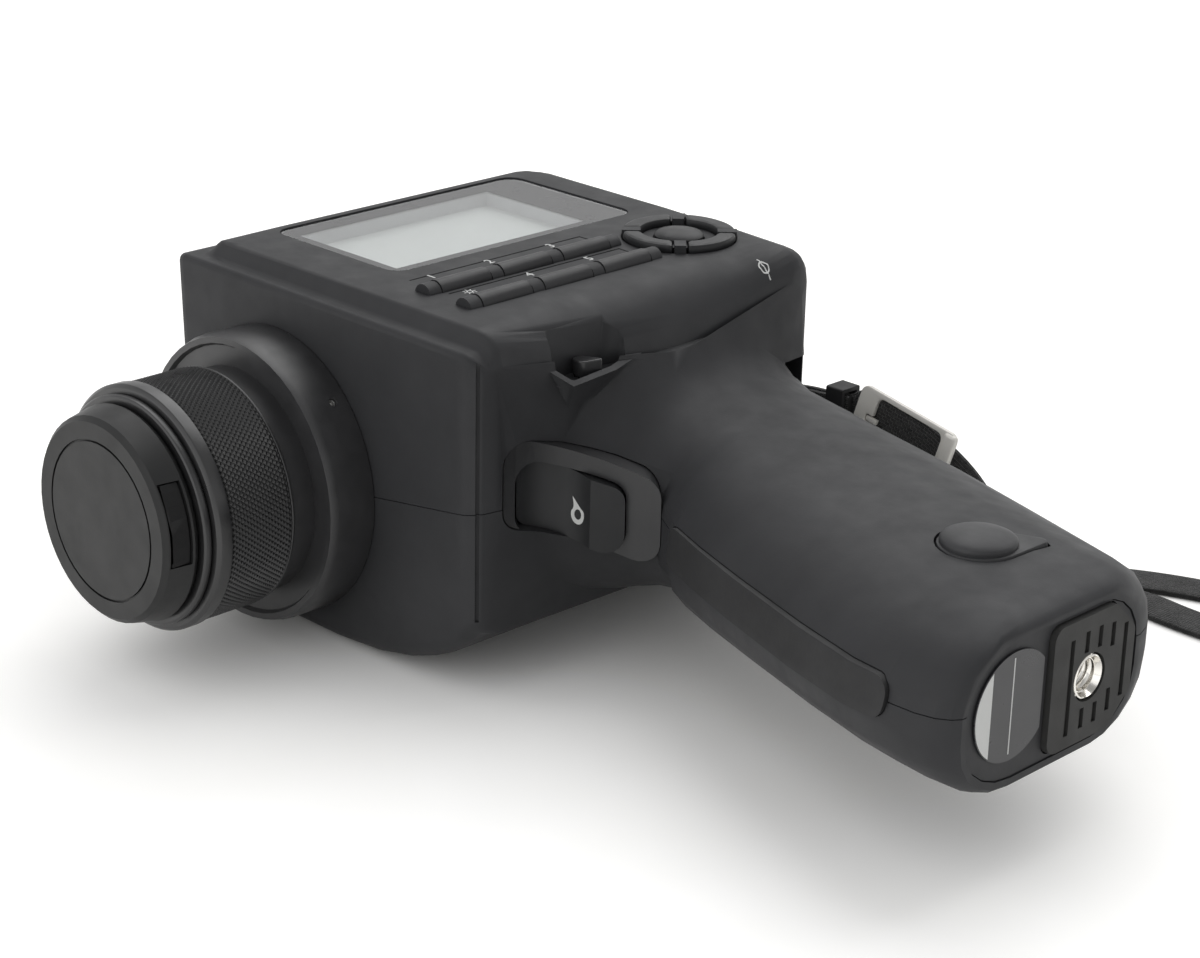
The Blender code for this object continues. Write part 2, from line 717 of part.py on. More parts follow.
def swell(share):
    """A smooth rise from none to all."""
    share = min(1, max(0, share))
    return share * share * (3 - 2 * share)


def top_height(x, y):
    """Height of the display side: the raised part, its ledge, and the turn to the flank."""
    along = x + BODY_ABOVE - LEDGE_END_DEPTH
    back = y - LEDGE_DEPTH
    if along < LEDGE_CORNER and back < LEDGE_CORNER:
        reach = math.hypot(LEDGE_CORNER - along, LEDGE_CORNER - back)
        inside = LEDGE_CORNER - reach
    else:
        inside = min(along, back)
    low = BODY_LEFT - LEDGE_DROP
    low -= turned_off(x + BODY_ABOVE, EDGE_ROUND)
    height = low + LEDGE_DROP * swell(inside / LEDGE_RUN)
    return height - turned_off(BODY_BELOW - x, ramp(FLANK_TOP_ROUNDS, y))


def under_height(x):
    across, up = UNDER_SWEEP
    centre_x, centre_z = BODY_BELOW - across, up - BODY_RIGHT
    if x > centre_x:
        low = centre_z - up * math.sqrt(max(0, 1 - ((x - centre_x) / across) ** 2))
        return min(low, -UNDER_MEET)
    return -BODY_RIGHT + turned_off(x + BODY_ABOVE, END_ROUND)


def housing_row(x, wall):
    """One section of the housing. The wall keeps its thickness, and the ends are clamped."""
    front = turned_off(x + BODY_ABOVE, FRONT_ROUND) + turned_off(BODY_BELOW - x, FLANK_FRONT_ROUND)
    rear = BODY_DEPTH - turned_off(x + BODY_ABOVE, END_ROUND) - turned_off(BODY_BELOW - x, FLANK_REAR_ROUND)
    front, rear = front + wall, rear - wall
    under = under_height(x) + wall
    rear_top = top_height(x, rear) - wall
    near = LEDGE_DEPTH + LEDGE_RUN
    over = []
    for share in TOP_FAR_SHARES:
        y = near + (rear - REAR_ROUND - near) * share
        over.append((y, top_height(x, y) - wall))
    for i in range(TOP_NEAR_STEPS + 1):
        y = near - LEDGE_RUN * i / TOP_NEAR_STEPS
        y = max(y, front + FRONT_ROUND + MERGE * (TOP_NEAR_STEPS + 1 - i))
        over.append((y, top_height(x, y) - wall))
    front_top = top_height(x, front + FRONT_ROUND) - wall
    corners = (
        corner(rear, rear_top, -REAR_ROUND, -REAR_ROUND, 0),
        corner(front, front_top, FRONT_ROUND, -EDGE_ROUND, 90),
        corner(front, under, UNDER_ROUND, UNDER_ROUND, 180),
        corner(rear, under, -UNDER_ROUND, UNDER_ROUND, 270),
    )
    return ring_of(corners, over)


def housing_rows(wall):
    length = BODY_ABOVE + BODY_BELOW
    rows = []
    for share in STATION_SHARES:
        x = -BODY_ABOVE + length * share
        place_x = min(max(x, -BODY_ABOVE + wall), BODY_BELOW - wall)
        if rows and place_x <= rows[-1][0] + MERGE:
            continue
        rows.append((place_x, housing_row(x, wall)))
    return rows


def grip_row(shares, wall):
    along, front, rear, top, under, front_round, rear_round, bend = shares
    front_y = BODY_DEPTH * front + wall
    rear_y = BODY_DEPTH * rear - wall
    top_z = GRIP_HALF * top - wall
    under_z = -GRIP_HALF * under + wall
    deep = rear_y - front_y
    near, far = deep * front_round, deep * rear_round
    corners = (
        corner(rear_y, top_z, -far, -top_z * bend, 0),
        corner(front_y, top_z, near, -top_z * bend, 90),
        corner(front_y, under_z, near, -under_z * bend, 180),
        corner(rear_y, under_z, -far, -under_z * bend, 270),
    )
    over = between(corners[0][-1], corners[1][0], len(TOP_FAR_SHARES) + TOP_NEAR_STEPS + 1)
    return BODY_BELOW + GRIP_LENGTH * along, ring_of(corners, over)


def grip_rows(wall):
    return [grip_row(shares, wall) for shares in GRIP_SECTION_SHARES]


def loft(rows):
    """A closed mesh through sections that all have the same number of points."""
    form = bmesh.new()
    rings = [[form.verts.new((x, y, z)) for y, z in outline] for x, outline in rows]
    for here, there in zip(rings, rings[1:]):
        for i in range(len(here)):
            j = (i + 1) % len(here)
            form.faces.new((here[i], here[j], there[j], there[i]))
    form.faces.new(rings[0])
    form.faces.new(rings[-1])
    return form


def body_form(name, look):
    return place(name, mesh_from(name, loft(housing_rows(0) + grip_rows(0))), look)


def hollow_form(name):
    """The space inside the shells, open at the grip's end to the base plate's outline."""
    grip = grip_rows(WALL)
    rows = housing_rows(WALL)
    rows.append((BODY_BELOW - WALL + GAP, grip[0][1]))
    rows += [(x - WALL / 2, outline) for x, outline in grip[:-3]]
    _, outline = grip_row(GRIP_SECTION_SHARES[-1], GRIP_END_WALL)
    rows.append((BODY_END - BASE_THICK - WALL / 2, outline))
    rows.append((BODY_END + OVERRUN, outline))
    return place(name, mesh_from(name, loft(rows)), None)


def seam_height(x):
    line = (
        (-BODY_ABOVE, SEAM_LOW),
        (SEAM_RISE_FROM, SEAM_LOW),
        (BODY_BELOW, SEAM_HIGH),
        (SEAM_FALL_TO, SEAM_GRIP),
        (BODY_END, SEAM_GRIP),
    )
    return ramp(line, x)


def seam_side(name, upward, gap):
    """Everything on one side of the seam, as a cutter."""
    far = BODY_LEFT * 2 if upward else -BODY_LEFT * 2
    shift = -gap if upward else gap
    outline = [
        (x, seam_height(x) + shift)
        for x in (-BODY_ABOVE - OVERRUN, SEAM_RISE_FROM, BODY_BELOW, SEAM_FALL_TO, BODY_END + OVERRUN)
    ]
    outline += [(outline[-1][0], far), (outline[0][0], far)]
    return prism(name, outline, -OVERRUN, BODY_DEPTH + OVERRUN, 1, None)


def groove_cutter():
    """An upright groove down the rounded corner between the front face and the flank."""
    middle = FLANK_FRONT_ROUND * (1 - math.sqrt(0.5))
    at = (BODY_BELOW - middle, middle, 0)
    return centred_block(
        "groove_cut",
        (GROOVE_DEPTH * 2, GROOVE_WIDTH, BODY_LEFT + UNDER_MEET * 0.75),
        None,
        0,
        2,
        (at[0], at[1], (BODY_LEFT - UNDER_MEET * 0.75 - LEDGE_DROP) / 2),
        (0, 0, math.radians(-45)),
    )


def bar_outline(width, low, rise):
    """The section of a key: straight sides and a round back, its left side at zero."""
    half = width / 2
    return [(0, low), (width, low)] + arc((half, rise - half), half, 0, 180, 8)


def key_span(index):
    """Where a key of either row starts and ends, front to back."""
    start = KEY_START_Y + KEY_PITCH * index + KEY_BLOCK / 2 + GAP
    return start, start + KEY_PITCH - KEY_BLOCK - GAP * 2


def keypad_cutters():
    """Slots for the two rows of keys, and the round well and holes of the direction keys."""
    cutters = []
    for row, x in enumerate(KEY_ROWS_X):
        for index in range(KEY_COUNT):
            y0, y1 = key_span(index)
            low = (x - GAP, y0 - GAP, BODY_LEFT - WALL - OVERRUN)
            high = (x + KEY_WIDTH + GAP, y1 + GAP, BODY_LEFT + KEY_RISE * 2)
            cutters.append(block(f"key_slot_{row}_{index}", low, high, None))
    for index, x in enumerate(KEY_LINES):
        low, high = BODY_LEFT - KEY_LINE_DEPTH, BODY_LEFT + OVERRUN
        turn_x = x + KEY_LINE_TURN
        outline = (
            (x, KEY_LINE_Y[0]),
            (x + KEY_LINE_WIDTH, KEY_LINE_Y[0]),
            (x + KEY_LINE_WIDTH, KEY_LINE_Y[1] - KEY_LINE_WIDTH),
            (turn_x, KEY_LINE_Y[1] - KEY_LINE_WIDTH),
            (turn_x, KEY_LINE_Y[1]),
            (x, KEY_LINE_Y[1]),
        )
        cutters.append(prism(f"key_line_{index}", outline, low, high, 2, None))
    pad = (PAD_X, PAD_Y, 0)
    low, high = BODY_LEFT - WALL - OVERRUN, BODY_LEFT + OVERRUN
    cutters.append(rod("middle_hole", MIDDLE_RADIUS + GAP, low, high, None, pad, steps=32))
    for index in range(4):
        turn = math.pi / 2 * index
        reach = (PAD_RADIUS + PAD_INNER) / 2
        stem = (PAD_X + reach * math.cos(turn), PAD_Y + reach * math.sin(turn), 0)
        cutters.append(rod(f"stem_hole_{index}", PAD_STEM / 2 + GAP, low, high, None, stem, steps=16))
    return cutters


def key_blocks():
    """The blocks of shell between the keys, and a stub at each end of a row."""
    blocks = []
    for row, x in enumerate(KEY_ROWS_X):
        for index in range(KEY_COUNT + 1):
            middle = KEY_START_Y + KEY_PITCH * index
            outline = bar_outline(KEY_WIDTH, -WALL / 2, KEY_RISE - KEY_BLOCK_DROP)
            blocks.append(
                prism(
                    f"key_block_{row}_{index}",
                    [(x + a, BODY_LEFT + b) for a, b in outline],
                    middle - KEY_BLOCK / 2,
                    middle + KEY_BLOCK / 2,
                    1,
                    None,
                )
            )
    return blocks


def pad_well():
    """The ring-shaped well, left standing at its four blocks."""
    profile = [
        (PAD_INNER - GAP, BODY_LEFT + OVERRUN),
        (PAD_RADIUS + GAP, BODY_LEFT + OVERRUN),
        (PAD_RADIUS + GAP, BODY_LEFT - PAD_WELL),
        (PAD_INNER - GAP, BODY_LEFT - PAD_WELL),
    ]
    return turned("pad_well", profile, None, (PAD_X, PAD_Y, 0), UPRIGHT, True, 48)


def pad_blocks():
    middle = (PAD_RADIUS + PAD_INNER) / 2
    blocks = []
    for index in range(4):
        turn = math.radians(45 + 90 * index)
        at = (PAD_X + middle * math.cos(turn), PAD_Y + middle * math.sin(turn), BODY_LEFT)
        size = (PAD_RADIUS - PAD_INNER, PAD_BLOCK, PAD_RISE * 2 - GAP)
        blocks.append(centred_block(f"pad_block_{index}", size, None, 0, 2, at, (0, 0, turn)))
    return blocks


def trigger_turn():
    """The bezel's own X runs along the hollow, its Y out of it."""
    return (0, 0, math.radians(90) + TRIGGER_TURN)


TRIGGER_AT = (TRIGGER_X, TRIGGER_Y, TRIGGER_Z)
TRIGGER_OUT = (math.cos(TRIGGER_TURN), math.sin(TRIGGER_TURN))


def rounded_outline(corners, radius, steps=5):
    """A polygon with every corner rounded to a radius."""
    points = []
    count = len(corners)
    for i, (x, y) in enumerate(corners):
        before, after = corners[i - 1], corners[(i + 1) % count]
        a = math.atan2(before[1] - y, before[0] - x)
        b = math.atan2(after[1] - y, after[0] - x)
        spread = (b - a + math.pi) % (2 * math.pi) - math.pi
        half = abs(spread) / 2
        reach = radius / math.tan(half)
        out = a + spread / 2
        centre = (x + radius / math.sin(half) * math.cos(out), y + radius / math.sin(half) * math.sin(out))
        first = (x + reach * math.cos(a), y + reach * math.sin(a))
        last = (x + reach * math.cos(b), y + reach * math.sin(b))
        start = math.atan2(first[1] - centre[1], first[0] - centre[0])
        end = math.atan2(last[1] - centre[1], last[0] - centre[0])
        sweep = (end - start + math.pi) % (2 * math.pi) - math.pi
        for k in range(steps + 1):
            turn = start + sweep * k / steps
            points.append((centre[0] + radius * math.cos(turn), centre[1] + radius * math.sin(turn)))
    return points


def grown_outline(corners, by):
    """Moves the corners of a four-sided outline outward."""
    middle = [sum(point[i] for point in corners) / len(corners) for i in range(2)]
    return [
        tuple(value + math.copysign(by, value - middle[i]) for i, value in enumerate(point))
        for point in corners
    ]


def trigger_prism(name, outline, radius, back, out, look, grow=0):
    """Draws an outline along the hollow's own normal. Its own X runs along the hollow."""
    corners = rounded_outline(grown_outline(outline, grow), radius + grow)
    return prism(name, corners, -out, back, 1, look, TRIGGER_AT, trigger_turn())


def bezel_hole():
    return trigger_prism(
        "bezel_hole", BEZEL_OUTLINE, BEZEL_CORNER, BEZEL_BACK + OVERRUN, BEZEL_OUT * 3, None, GAP
    )


def lens_hole():
    return rod(
        "lens_hole",
        FLANGE_SPIGOT_RADIUS + GAP,
        -FLANGE_SPIGOT_DEPTH - OVERRUN * 2,
        OVERRUN,
        None,
        turn=FRONTWARD,
        steps=LENS_STEPS,
    )


def eye_hole():
    return rod(
        "eye_hole",
        EYE_TUBE_RADIUS + GAP,
        -OVERRUN,
        WALL + OVERRUN * 2,
        None,
        (0, BODY_DEPTH, 0),
        FRONTWARD,
        EYE_STEPS,
    )


def strip_band(name, grow):
    """The strip's outline as seen from in front of the grip, drawn out to both sides."""
    corners = (
        (STRIP_X[0] - grow, STRIP_Z[0] - grow),
        (STRIP_X[1] + grow, STRIP_Z[0] - grow),
        (STRIP_X[1] + grow, STRIP_Z[1] + grow),
        (STRIP_X[0] - grow, STRIP_Z[1] + grow),
    )
    outline = rounded_outline(corners, STRIP_CORNER + grow)
    return prism(name, outline, -BODY_DEPTH / 2, BODY_DEPTH / 2, 1, None)


def strip_proud(along):
    x = BODY_BELOW + GRIP_LENGTH * along
    share = swell((x - STRIP_X[0]) / (STRIP_PROUD_FROM - STRIP_X[0]))
    return STRIP_PROUD_TOP + (STRIP_PROUD - STRIP_PROUD_TOP) * share


def grip_core(name, depth):
    """The grip alone, some way under its surface."""
    rows = [grip_row(shares, depth) for shares in GRIP_SECTION_SHARES]
    return place(name, mesh_from(name, loft(rows)), None)


def strip_bed():
    """What the strip needs out of the shells."""
    bed = strip_band("strip_bed", GAP)
    return cut(bed, grip_core("bed_floor", STRIP_DEEP + GAP))


def cover_box(name, grow):
    """Bounds of the battery cover in X and Y."""
    low = (CELL_START - TRAY_WALL - COVER_LIP - grow, CELLS_Y - COVER_HALF - grow, -GRIP_HALF * 2)
    high = (
        CELL_START + CELL_LENGTH + CELL_NUB + TRAY_WALL + COVER_LIP + grow,
        CELLS_Y + COVER_HALF + grow,
        CELLS_Z - CELL_RADIUS - GAP,
    )
    return block(name, low, high, None, END_ROUND, 2)


def jack_outline(radius, tip, tip_half):
    """A round cover whose two tangents run to a blunt tip along its own X."""
    spread = math.degrees(math.acos((radius - tip_half) / tip))
    points = arc((0, 0), radius, spread, 360 - spread, 18)
    return points + [(tip, -tip_half), (tip, tip_half)]


def jack_pocket():
    outline = jack_outline(JACK_COVER_RADIUS + GAP, JACK_COVER_TIP + GAP, JACK_TIP_HALF + GAP)
    return prism(
        "jack_pocket",
        outline,
        JACK_POCKET_FLOOR,
        GRIP_HALF * 2,
        2,
        None,
        (JACK_X, JACK_Y, 0),
        (0, 0, JACK_TURN),
    )


def jack_opening():
    return centred_block(
        "jack_opening",
        (JACK_BLOCK[0] + GAP * 2, JACK_BLOCK[1] + GAP * 2, GRIP_HALF * 2),
        None,
        0,
        2,
        (JACK_X, JACK_Y, GRIP_HALF),
        (0, 0, JACK_TURN),
    )


def shelf_form():
    """The corbel that carries the selector's pocket out from the flank."""
    form = bmesh.new()
    corners = list(SHELF_RIM) + list(SHELF_FOOT)
    corners += [(SHELF_BACK, y, z) for _, y, z in (SHELF_RIM[0], SHELF_RIM[-1], *SHELF_FOOT)]
    for where in corners:
        form.verts.new(where)
    bmesh.ops.convex_hull(form, input=form.verts)
    return place("shelf_form", mesh_from("shelf_form", form), None)


def pocket_cutter():
    outline = rounded_outline(POCKET_OUTLINE, POCKET_CORNER, 3)
    return prism("pocket_cut", outline, POCKET_FLOOR, BODY_LEFT + OVERRUN, 2, None)


def window_seat():
    """The step that the window rests on, and the opening under it."""
    top = BODY_LEFT + OVERRUN
    floor = BODY_LEFT - WINDOW_SUNK - WINDOW_THICK - GAP
    bed = block(
        "window_bed",
        (WINDOW_X[0] - GAP, WINDOW_Y[0] - GAP, floor),
        (WINDOW_X[1] + GAP, WINDOW_Y[1] + GAP, top),
        None,
        WINDOW_CORNER + GAP,
        2,
    )
    hole = block(
        "window_hole",
        (WINDOW_X[0] + WINDOW_SEAT, WINDOW_Y[0] + WINDOW_SEAT, BODY_LEFT - WALL - OVERRUN),
        (WINDOW_X[1] - WINDOW_SEAT, WINDOW_Y[1] - WINDOW_SEAT, top),
        None,
    )
    return bed, hole


def screw_places():
    """Each screw's place, and the outer surface below it."""
    places = [(x, y, under_height(x)) for x, y in HOUSING_SCREWS]
    places += [(x, y, -GRIP_HALF * 0.9) for x, y in GRIP_SCREWS]
    return places


def bay_cutter():
    """The open corner that the strap's bar stands in, and the bar's two seats."""
    bay = block(
        "bay_cut",
        (BAY_X, BAY_Y, BAY_Z[0]),
        (BODY_BELOW + OVERRUN * 2, BAY_REAR, BAY_Z[1]),
        None,
    )
    mouth = block(
        "bay_mouth",
        (BAY_X, BAY_REAR - OVERRUN, BAY_Z[0]),
        (BODY_BELOW + OVERRUN * 2, BODY_DEPTH + OVERRUN, BAY_MOUTH),
        None,
    )
    join(bay, mouth)
    low, high = BAY_Z[0] - LUG_SEATED - GAP, BAY_Z[1] + LUG_SEATED + GAP
    seats = rod("bar_seats", LUG_RADIUS + GAP, low, high, None, (LUG_X, LUG_Y, 0), steps=16)
    return join(bay, seats)


def solid_places():
    """Where the shells stay solid: round the pockets and the bay, on the tray, at the screws."""
    wall = LUG_SEATED + WALL
    tub = block(
        "pocket_tub",
        (POCKET_TUB_X, POCKET_TUB_Y[0], POCKET_FLOOR - WALL),
        (BODY_BELOW + OVERRUN, POCKET_TUB_Y[1], BODY_LEFT + OVERRUN),
        None,
    )
    bay = block(
        "bay_walls",
        (BAY_X - WALL, BAY_Y - WALL, BAY_Z[0] - wall),
        (BODY_BELOW + OVERRUN, BODY_DEPTH + OVERRUN, BAY_Z[1] + wall),
        None,
    )
    jack_walls = prism(
        "jack_walls",
        jack_outline(JACK_COVER_RADIUS + WALL, JACK_COVER_TIP + WALL, JACK_TIP_HALF + GAP),
        JACK_POCKET_FLOOR - WALL,
        GRIP_HALF * 2,
        2,
        None,
        (JACK_X, JACK_Y, 0),
        (0, 0, JACK_TURN),
    )
    tray_top = CELLS_Z + CELL_RADIUS + GAP * 2 + TRAY_WALL
    rib = block(
        "tray_rib",
        (RIB_X[0], CELLS_Y - RIB_HALF, tray_top),
        (RIB_X[1], CELLS_Y + RIB_HALF, GRIP_HALF * 2),
        None,
    )
    bosses = [
        rod(f"boss_{i}", BOSS_RADIUS, -BODY_LEFT, BODY_LEFT + OVERRUN, None, (x, y, 0), steps=16)
        for i, (x, y, _) in enumerate(screw_places())
    ]
    return [tub, bay, jack_walls, rib, *bosses]


def upper_shell():
    shell = body_form("left_shell", DARK_SHELL)
    hollow = hollow_form("hollow")
    cut(hollow, *solid_places())
    cut(shell, hollow)
    join(shell, shelf_form())
    cut(shell, seam_side("below_seam", False, GAP / 2))
    cut(shell, pocket_cutter(), groove_cutter(), bay_cutter())
    cut(shell, *window_seat())
    cut(shell, pad_well())
    join(shell, *pad_blocks(), *key_blocks())
    cut(shell, *keypad_cutters())
    cut(shell, lens_hole(), eye_hole(), bezel_hole(), jack_pocket(), jack_opening())
    knob_hole = rod(
        "knob_hole",
        KNOB_STEM_RADIUS + GAP,
        POCKET_FLOOR - KNOB_STEM_DEEP - GAP,
        POCKET_FLOOR + OVERRUN,
        None,
        (KNOB_X, KNOB_Y, 0),
        steps=16,
    )
    cut(shell, knob_hole, strip_bed())
    for x, y, under in screw_places():
        top = under + SCREW_SUNK + SCREW_LENGTH
        pilot = rod("pilot", SCREW_RADIUS + GAP, under, top + OVERRUN, None, (x, y, 0), steps=12)
        cut(shell, pilot)
    smooth(shell, 35)
    return shell


def lower_shell():
    shell = body_form("right_shell", DARK_SHELL)
    cut(shell, bpy.data.objects["hollow"])
    cut(shell, seam_side("above_seam", True, GAP / 2))
    for name in ("groove_cut", "lens_hole", "eye_hole", "bezel_hole", "strip_bed", "bay_cut"):
        cut(shell, bpy.data.objects[name])
    cut(shell, cover_box("cover_hole", RUNNING_GAP))
    for x, y, under in screw_places():
        at = (x, y, 0)
        head, shank = SCREW_HEAD_RADIUS + GAP, SCREW_RADIUS + GAP
        well = rod("head_well", head, under - OVERRUN, under + SCREW_SUNK, None, at, steps=16)
        way = rod("shank_hole", shank, under, seam_height(x) + OVERRUN, None, at, steps=12)
        cut(shell, well, way)
    smooth(shell, 35)
    return shell


def shell_screws():
    for index, (x, y, under) in enumerate(screw_places()):
        seat = under + SCREW_SUNK
        profile = [
            (0, seat + SCREW_LENGTH),
            (SCREW_RADIUS * 0.6, seat + SCREW_LENGTH),
            (SCREW_RADIUS, seat + SCREW_LENGTH - SCREW_RADIUS),
            (SCREW_RADIUS, seat - GAP),
            (SCREW_HEAD_RADIUS, seat - GAP),
            (SCREW_HEAD_RADIUS, seat - SCREW_HEAD * 0.6),
            (SCREW_HEAD_RADIUS * 0.7, seat - SCREW_HEAD),
            (0, seat - SCREW_HEAD),
        ]
        turned(f"shell_screw_{index + 1}", profile, BRIGHT_METAL, (x, y, 0), UPRIGHT, False, 16)


def lens_mount():
    r, bore, front = FLANGE_RADIUS, FLANGE_BORE, FLANGE_LENGTH
    profile = [
        (HELICOID_RADIUS, HELICOID_FRONT),
        (HELICOID_RADIUS, front - FLANGE_BEVEL / 2),
        (r - FLANGE_BEVEL * 1.3, front - FLANGE_BEVEL / 2),
        (r - FLANGE_BEVEL, front),
        (r - FLANGE_BEVEL / 3, front),
        (r, front - FLANGE_BEVEL),
        (r, GAP),
        (FLANGE_SPIGOT_RADIUS, GAP),
        (FLANGE_SPIGOT_RADIUS, -FLANGE_SPIGOT_DEPTH),
        (bore, -FLANGE_SPIGOT_DEPTH),
        (bore, HELICOID_FRONT),
    ]
    mount = turned("lens_mount", profile, BLACK_METAL, steps=LENS_STEPS)
    smooth(mount)


def focus_ring():
    lip = FOCUS_FRONT - FOCUS_LIP_LENGTH
    profile = [
        (FOCUS_BORE, FOCUS_FRONT),
        (FOCUS_LIP_RADIUS - FOCUS_LIP_BEVEL, FOCUS_FRONT),
        (FOCUS_LIP_RADIUS, FOCUS_FRONT - FOCUS_LIP_BEVEL),
        (FOCUS_LIP_RADIUS, lip),
        (FOCUS_RADIUS - KNURL_DEPTH, lip - FOCUS_LIP_BEVEL),
        (FOCUS_RADIUS, lip - FOCUS_LIP_BEVEL * 2),
        (FOCUS_RADIUS, FOCUS_REAR + KNURL_DEPTH),
        (FOCUS_RADIUS - KNURL_DEPTH, FOCUS_REAR),
        (FOCUS_BORE, FOCUS_REAR),
    ]
    ring = turned("focus_ring", profile, BLACK_METAL, steps=LENS_STEPS)
    smooth(ring)


def lens_barrel():
    profile = [
        (BARREL_BORE, BARREL_FRONT),
        (BARREL_RADIUS, BARREL_FRONT),
        (BARREL_RADIUS, -BARREL_REAR),
        (BARREL_RADIUS - BARREL_LIP * 3, -BARREL_REAR),
        (BARREL_RADIUS - BARREL_LIP * 3, -BARREL_REAR + BARREL_LIP),
        (BARREL_BORE, -BARREL_REAR + BARREL_LIP),
        (BARREL_BORE, FRONT_GLASS_AT - FRONT_GLASS_EDGE),
        (FRONT_GLASS_RADIUS - BARREL_LIP, FRONT_GLASS_AT - FRONT_GLASS_EDGE),
        (FRONT_GLASS_RADIUS - BARREL_LIP, FRONT_GLASS_AT - GAP),
        (BARREL_BORE, FRONT_GLASS_AT - GAP),
    ]
    barrel = turned("lens_barrel", profile, BLACK_METAL, steps=LENS_STEPS)
    smooth(barrel)


def glass(name, radius, edge, sag, at, origin=(0, 0, 0), turn=FRONTWARD):
    """A lens with two domed faces and a straight edge."""
    curve = (radius**2 + sag**2) / (2 * sag)
    steps = 3
    front = []
    for i in range(steps + 1):
        r = radius * i / steps
        front.append((r, at + edge + sag - (curve - math.sqrt(curve**2 - r**2))))
    back = [(r, at - (h - at - edge) * 0.4) for r, h in front[::-1]]
    item = turned(name, front + back, CLEAR_GLASS, origin, turn, False, EYE_STEPS)
    smooth(item)


def lens_glasses():
    radius, at = FRONT_GLASS_RADIUS + BARREL_LIP - GAP, FRONT_GLASS_AT + GAP * 4
    glass("front_lens", radius, FRONT_GLASS_EDGE, FRONT_GLASS_SAG, at)
    at = FRONT_GLASS_AT + FRONT_GLASS_EDGE + GAP * 5
    profile = [
        (FRONT_GLASS_RADIUS, at + RETAINER_LENGTH),
        (BARREL_BORE - GAP, at + RETAINER_LENGTH),
        (BARREL_BORE - GAP, at),
        (FRONT_GLASS_RADIUS + BARREL_LIP / 2, at),
    ]
    ring = turned("lens_retainer", profile, BLACK_METAL, steps=EYE_STEPS)
    smooth(ring)


def cap_outline():
    face, chamfer = CAP_FRONT, CAP_CHAMFER
    disc, width, deep = CAP_DISC_RADIUS, CAP_GROOVE_WIDTH, CAP_GROOVE_DEPTH
    inner = CAP_FRONT - CAP_WALL
    return [
        (0, face),
        (disc, face),
        (disc, face - deep),
        (disc + width, face - deep),
        (disc + width, face),
        (CAP_FACE_RADIUS - chamfer, face),
        (CAP_FACE_RADIUS, face - chamfer),
        (CAP_RADIUS, CAP_REAR + chamfer),
        (CAP_RADIUS - chamfer / 2, CAP_REAR),
        (CAP_RADIUS - CAP_WALL, CAP_REAR),
        (CAP_RADIUS - CAP_WALL, inner),
        (CAP_PLUG_RADIUS, inner),
        (CAP_PLUG_RADIUS, CAP_PLUG_REAR),
        (CAP_PLUG_RADIUS - CAP_PLUG_WALL, CAP_PLUG_REAR),
        (CAP_PLUG_RADIUS - CAP_PLUG_WALL, inner),
        (0, inner),
    ]


def tab_box(name, side, inner, outer, front, back, half, look=None):
    """A box across the cap's rim. The cap is turned a little about the lens axis."""
    low, high = (inner, outer) if side > 0 else (-outer, -inner)
    turn = (0, CAP_TURN, 0)
    return block(name, (low, -front, -half), (high, -back, half), look, origin=(0, 0, 0), turn=turn)


def lens_cap():
    cap = turned("lens_cap", cap_outline(), BLACK_PLASTIC, closed=False, steps=LENS_STEPS)
    front = CAP_FRONT - CAP_TAB_BACK
    for side in (-1, 1):
        slot = tab_box(
            f"tab_slot_{side}",
            side,
            CAP_RADIUS - CAP_TAB_LENGTH,
            CAP_RADIUS + OVERRUN,
            front + GAP,
            front - CAP_TAB_DEPTH - GAP,
            CAP_TAB_WIDTH / 2 + GAP,
        )
        cut(cap, slot)
    smooth(cap)


def cap_tabs():
    """The two finger tabs, on the grip side and on the side away from it."""
    front = CAP_FRONT - CAP_TAB_BACK
    outer = CAP_RADIUS - CAP_TAB_INSET
    inner = CAP_RADIUS - CAP_TAB_LENGTH + CAP_TAB_TRAVEL + GAP
    for name, side in (("cap_tab_below", 1), ("cap_tab_above", -1)):
        low, high = front - CAP_TAB_DEPTH, front
        tab = rod(name, outer, low, high, BLACK_PLASTIC, turn=FRONTWARD, steps=LENS_STEPS)
        keep = tab_box(name + "_keep", side, inner, outer * 2, high + GAP, low - GAP, CAP_TAB_WIDTH / 2)
        combine(tab, keep, "INTERSECT")


def display_parts():
    top = BODY_LEFT - WINDOW_SUNK
    block(
        "display_window",
        (WINDOW_X[0], WINDOW_Y[0], top - WINDOW_THICK),
        (WINDOW_X[1], WINDOW_Y[1], top),
        CLEAR_GLASS,
        WINDOW_CORNER,
        2,
    )
    under = BODY_LEFT - WALL - SCREEN_GAP
    module = block(
        "display_module",
        (SCREEN_X[0] - MODULE_BORDER, SCREEN_Y[0] - MODULE_BORDER, under - MODULE_THICK),
        (SCREEN_X[1] + MODULE_BORDER, SCREEN_Y[1] + MODULE_BORDER, under),
        SCREEN_GREY,
    )
    return module


def keys():
    for row, x in enumerate(KEY_ROWS_X):
        for index in range(KEY_COUNT):
            y0, y1 = key_span(index)
            outline = bar_outline(KEY_WIDTH, -WALL - GAP, KEY_RISE)
            name = f"key_{row * KEY_COUNT + index + 1}"
            key = prism(name, outline, y0, y1, 1, KEY_GREY, (x, 0, BODY_LEFT))
            smooth(key)


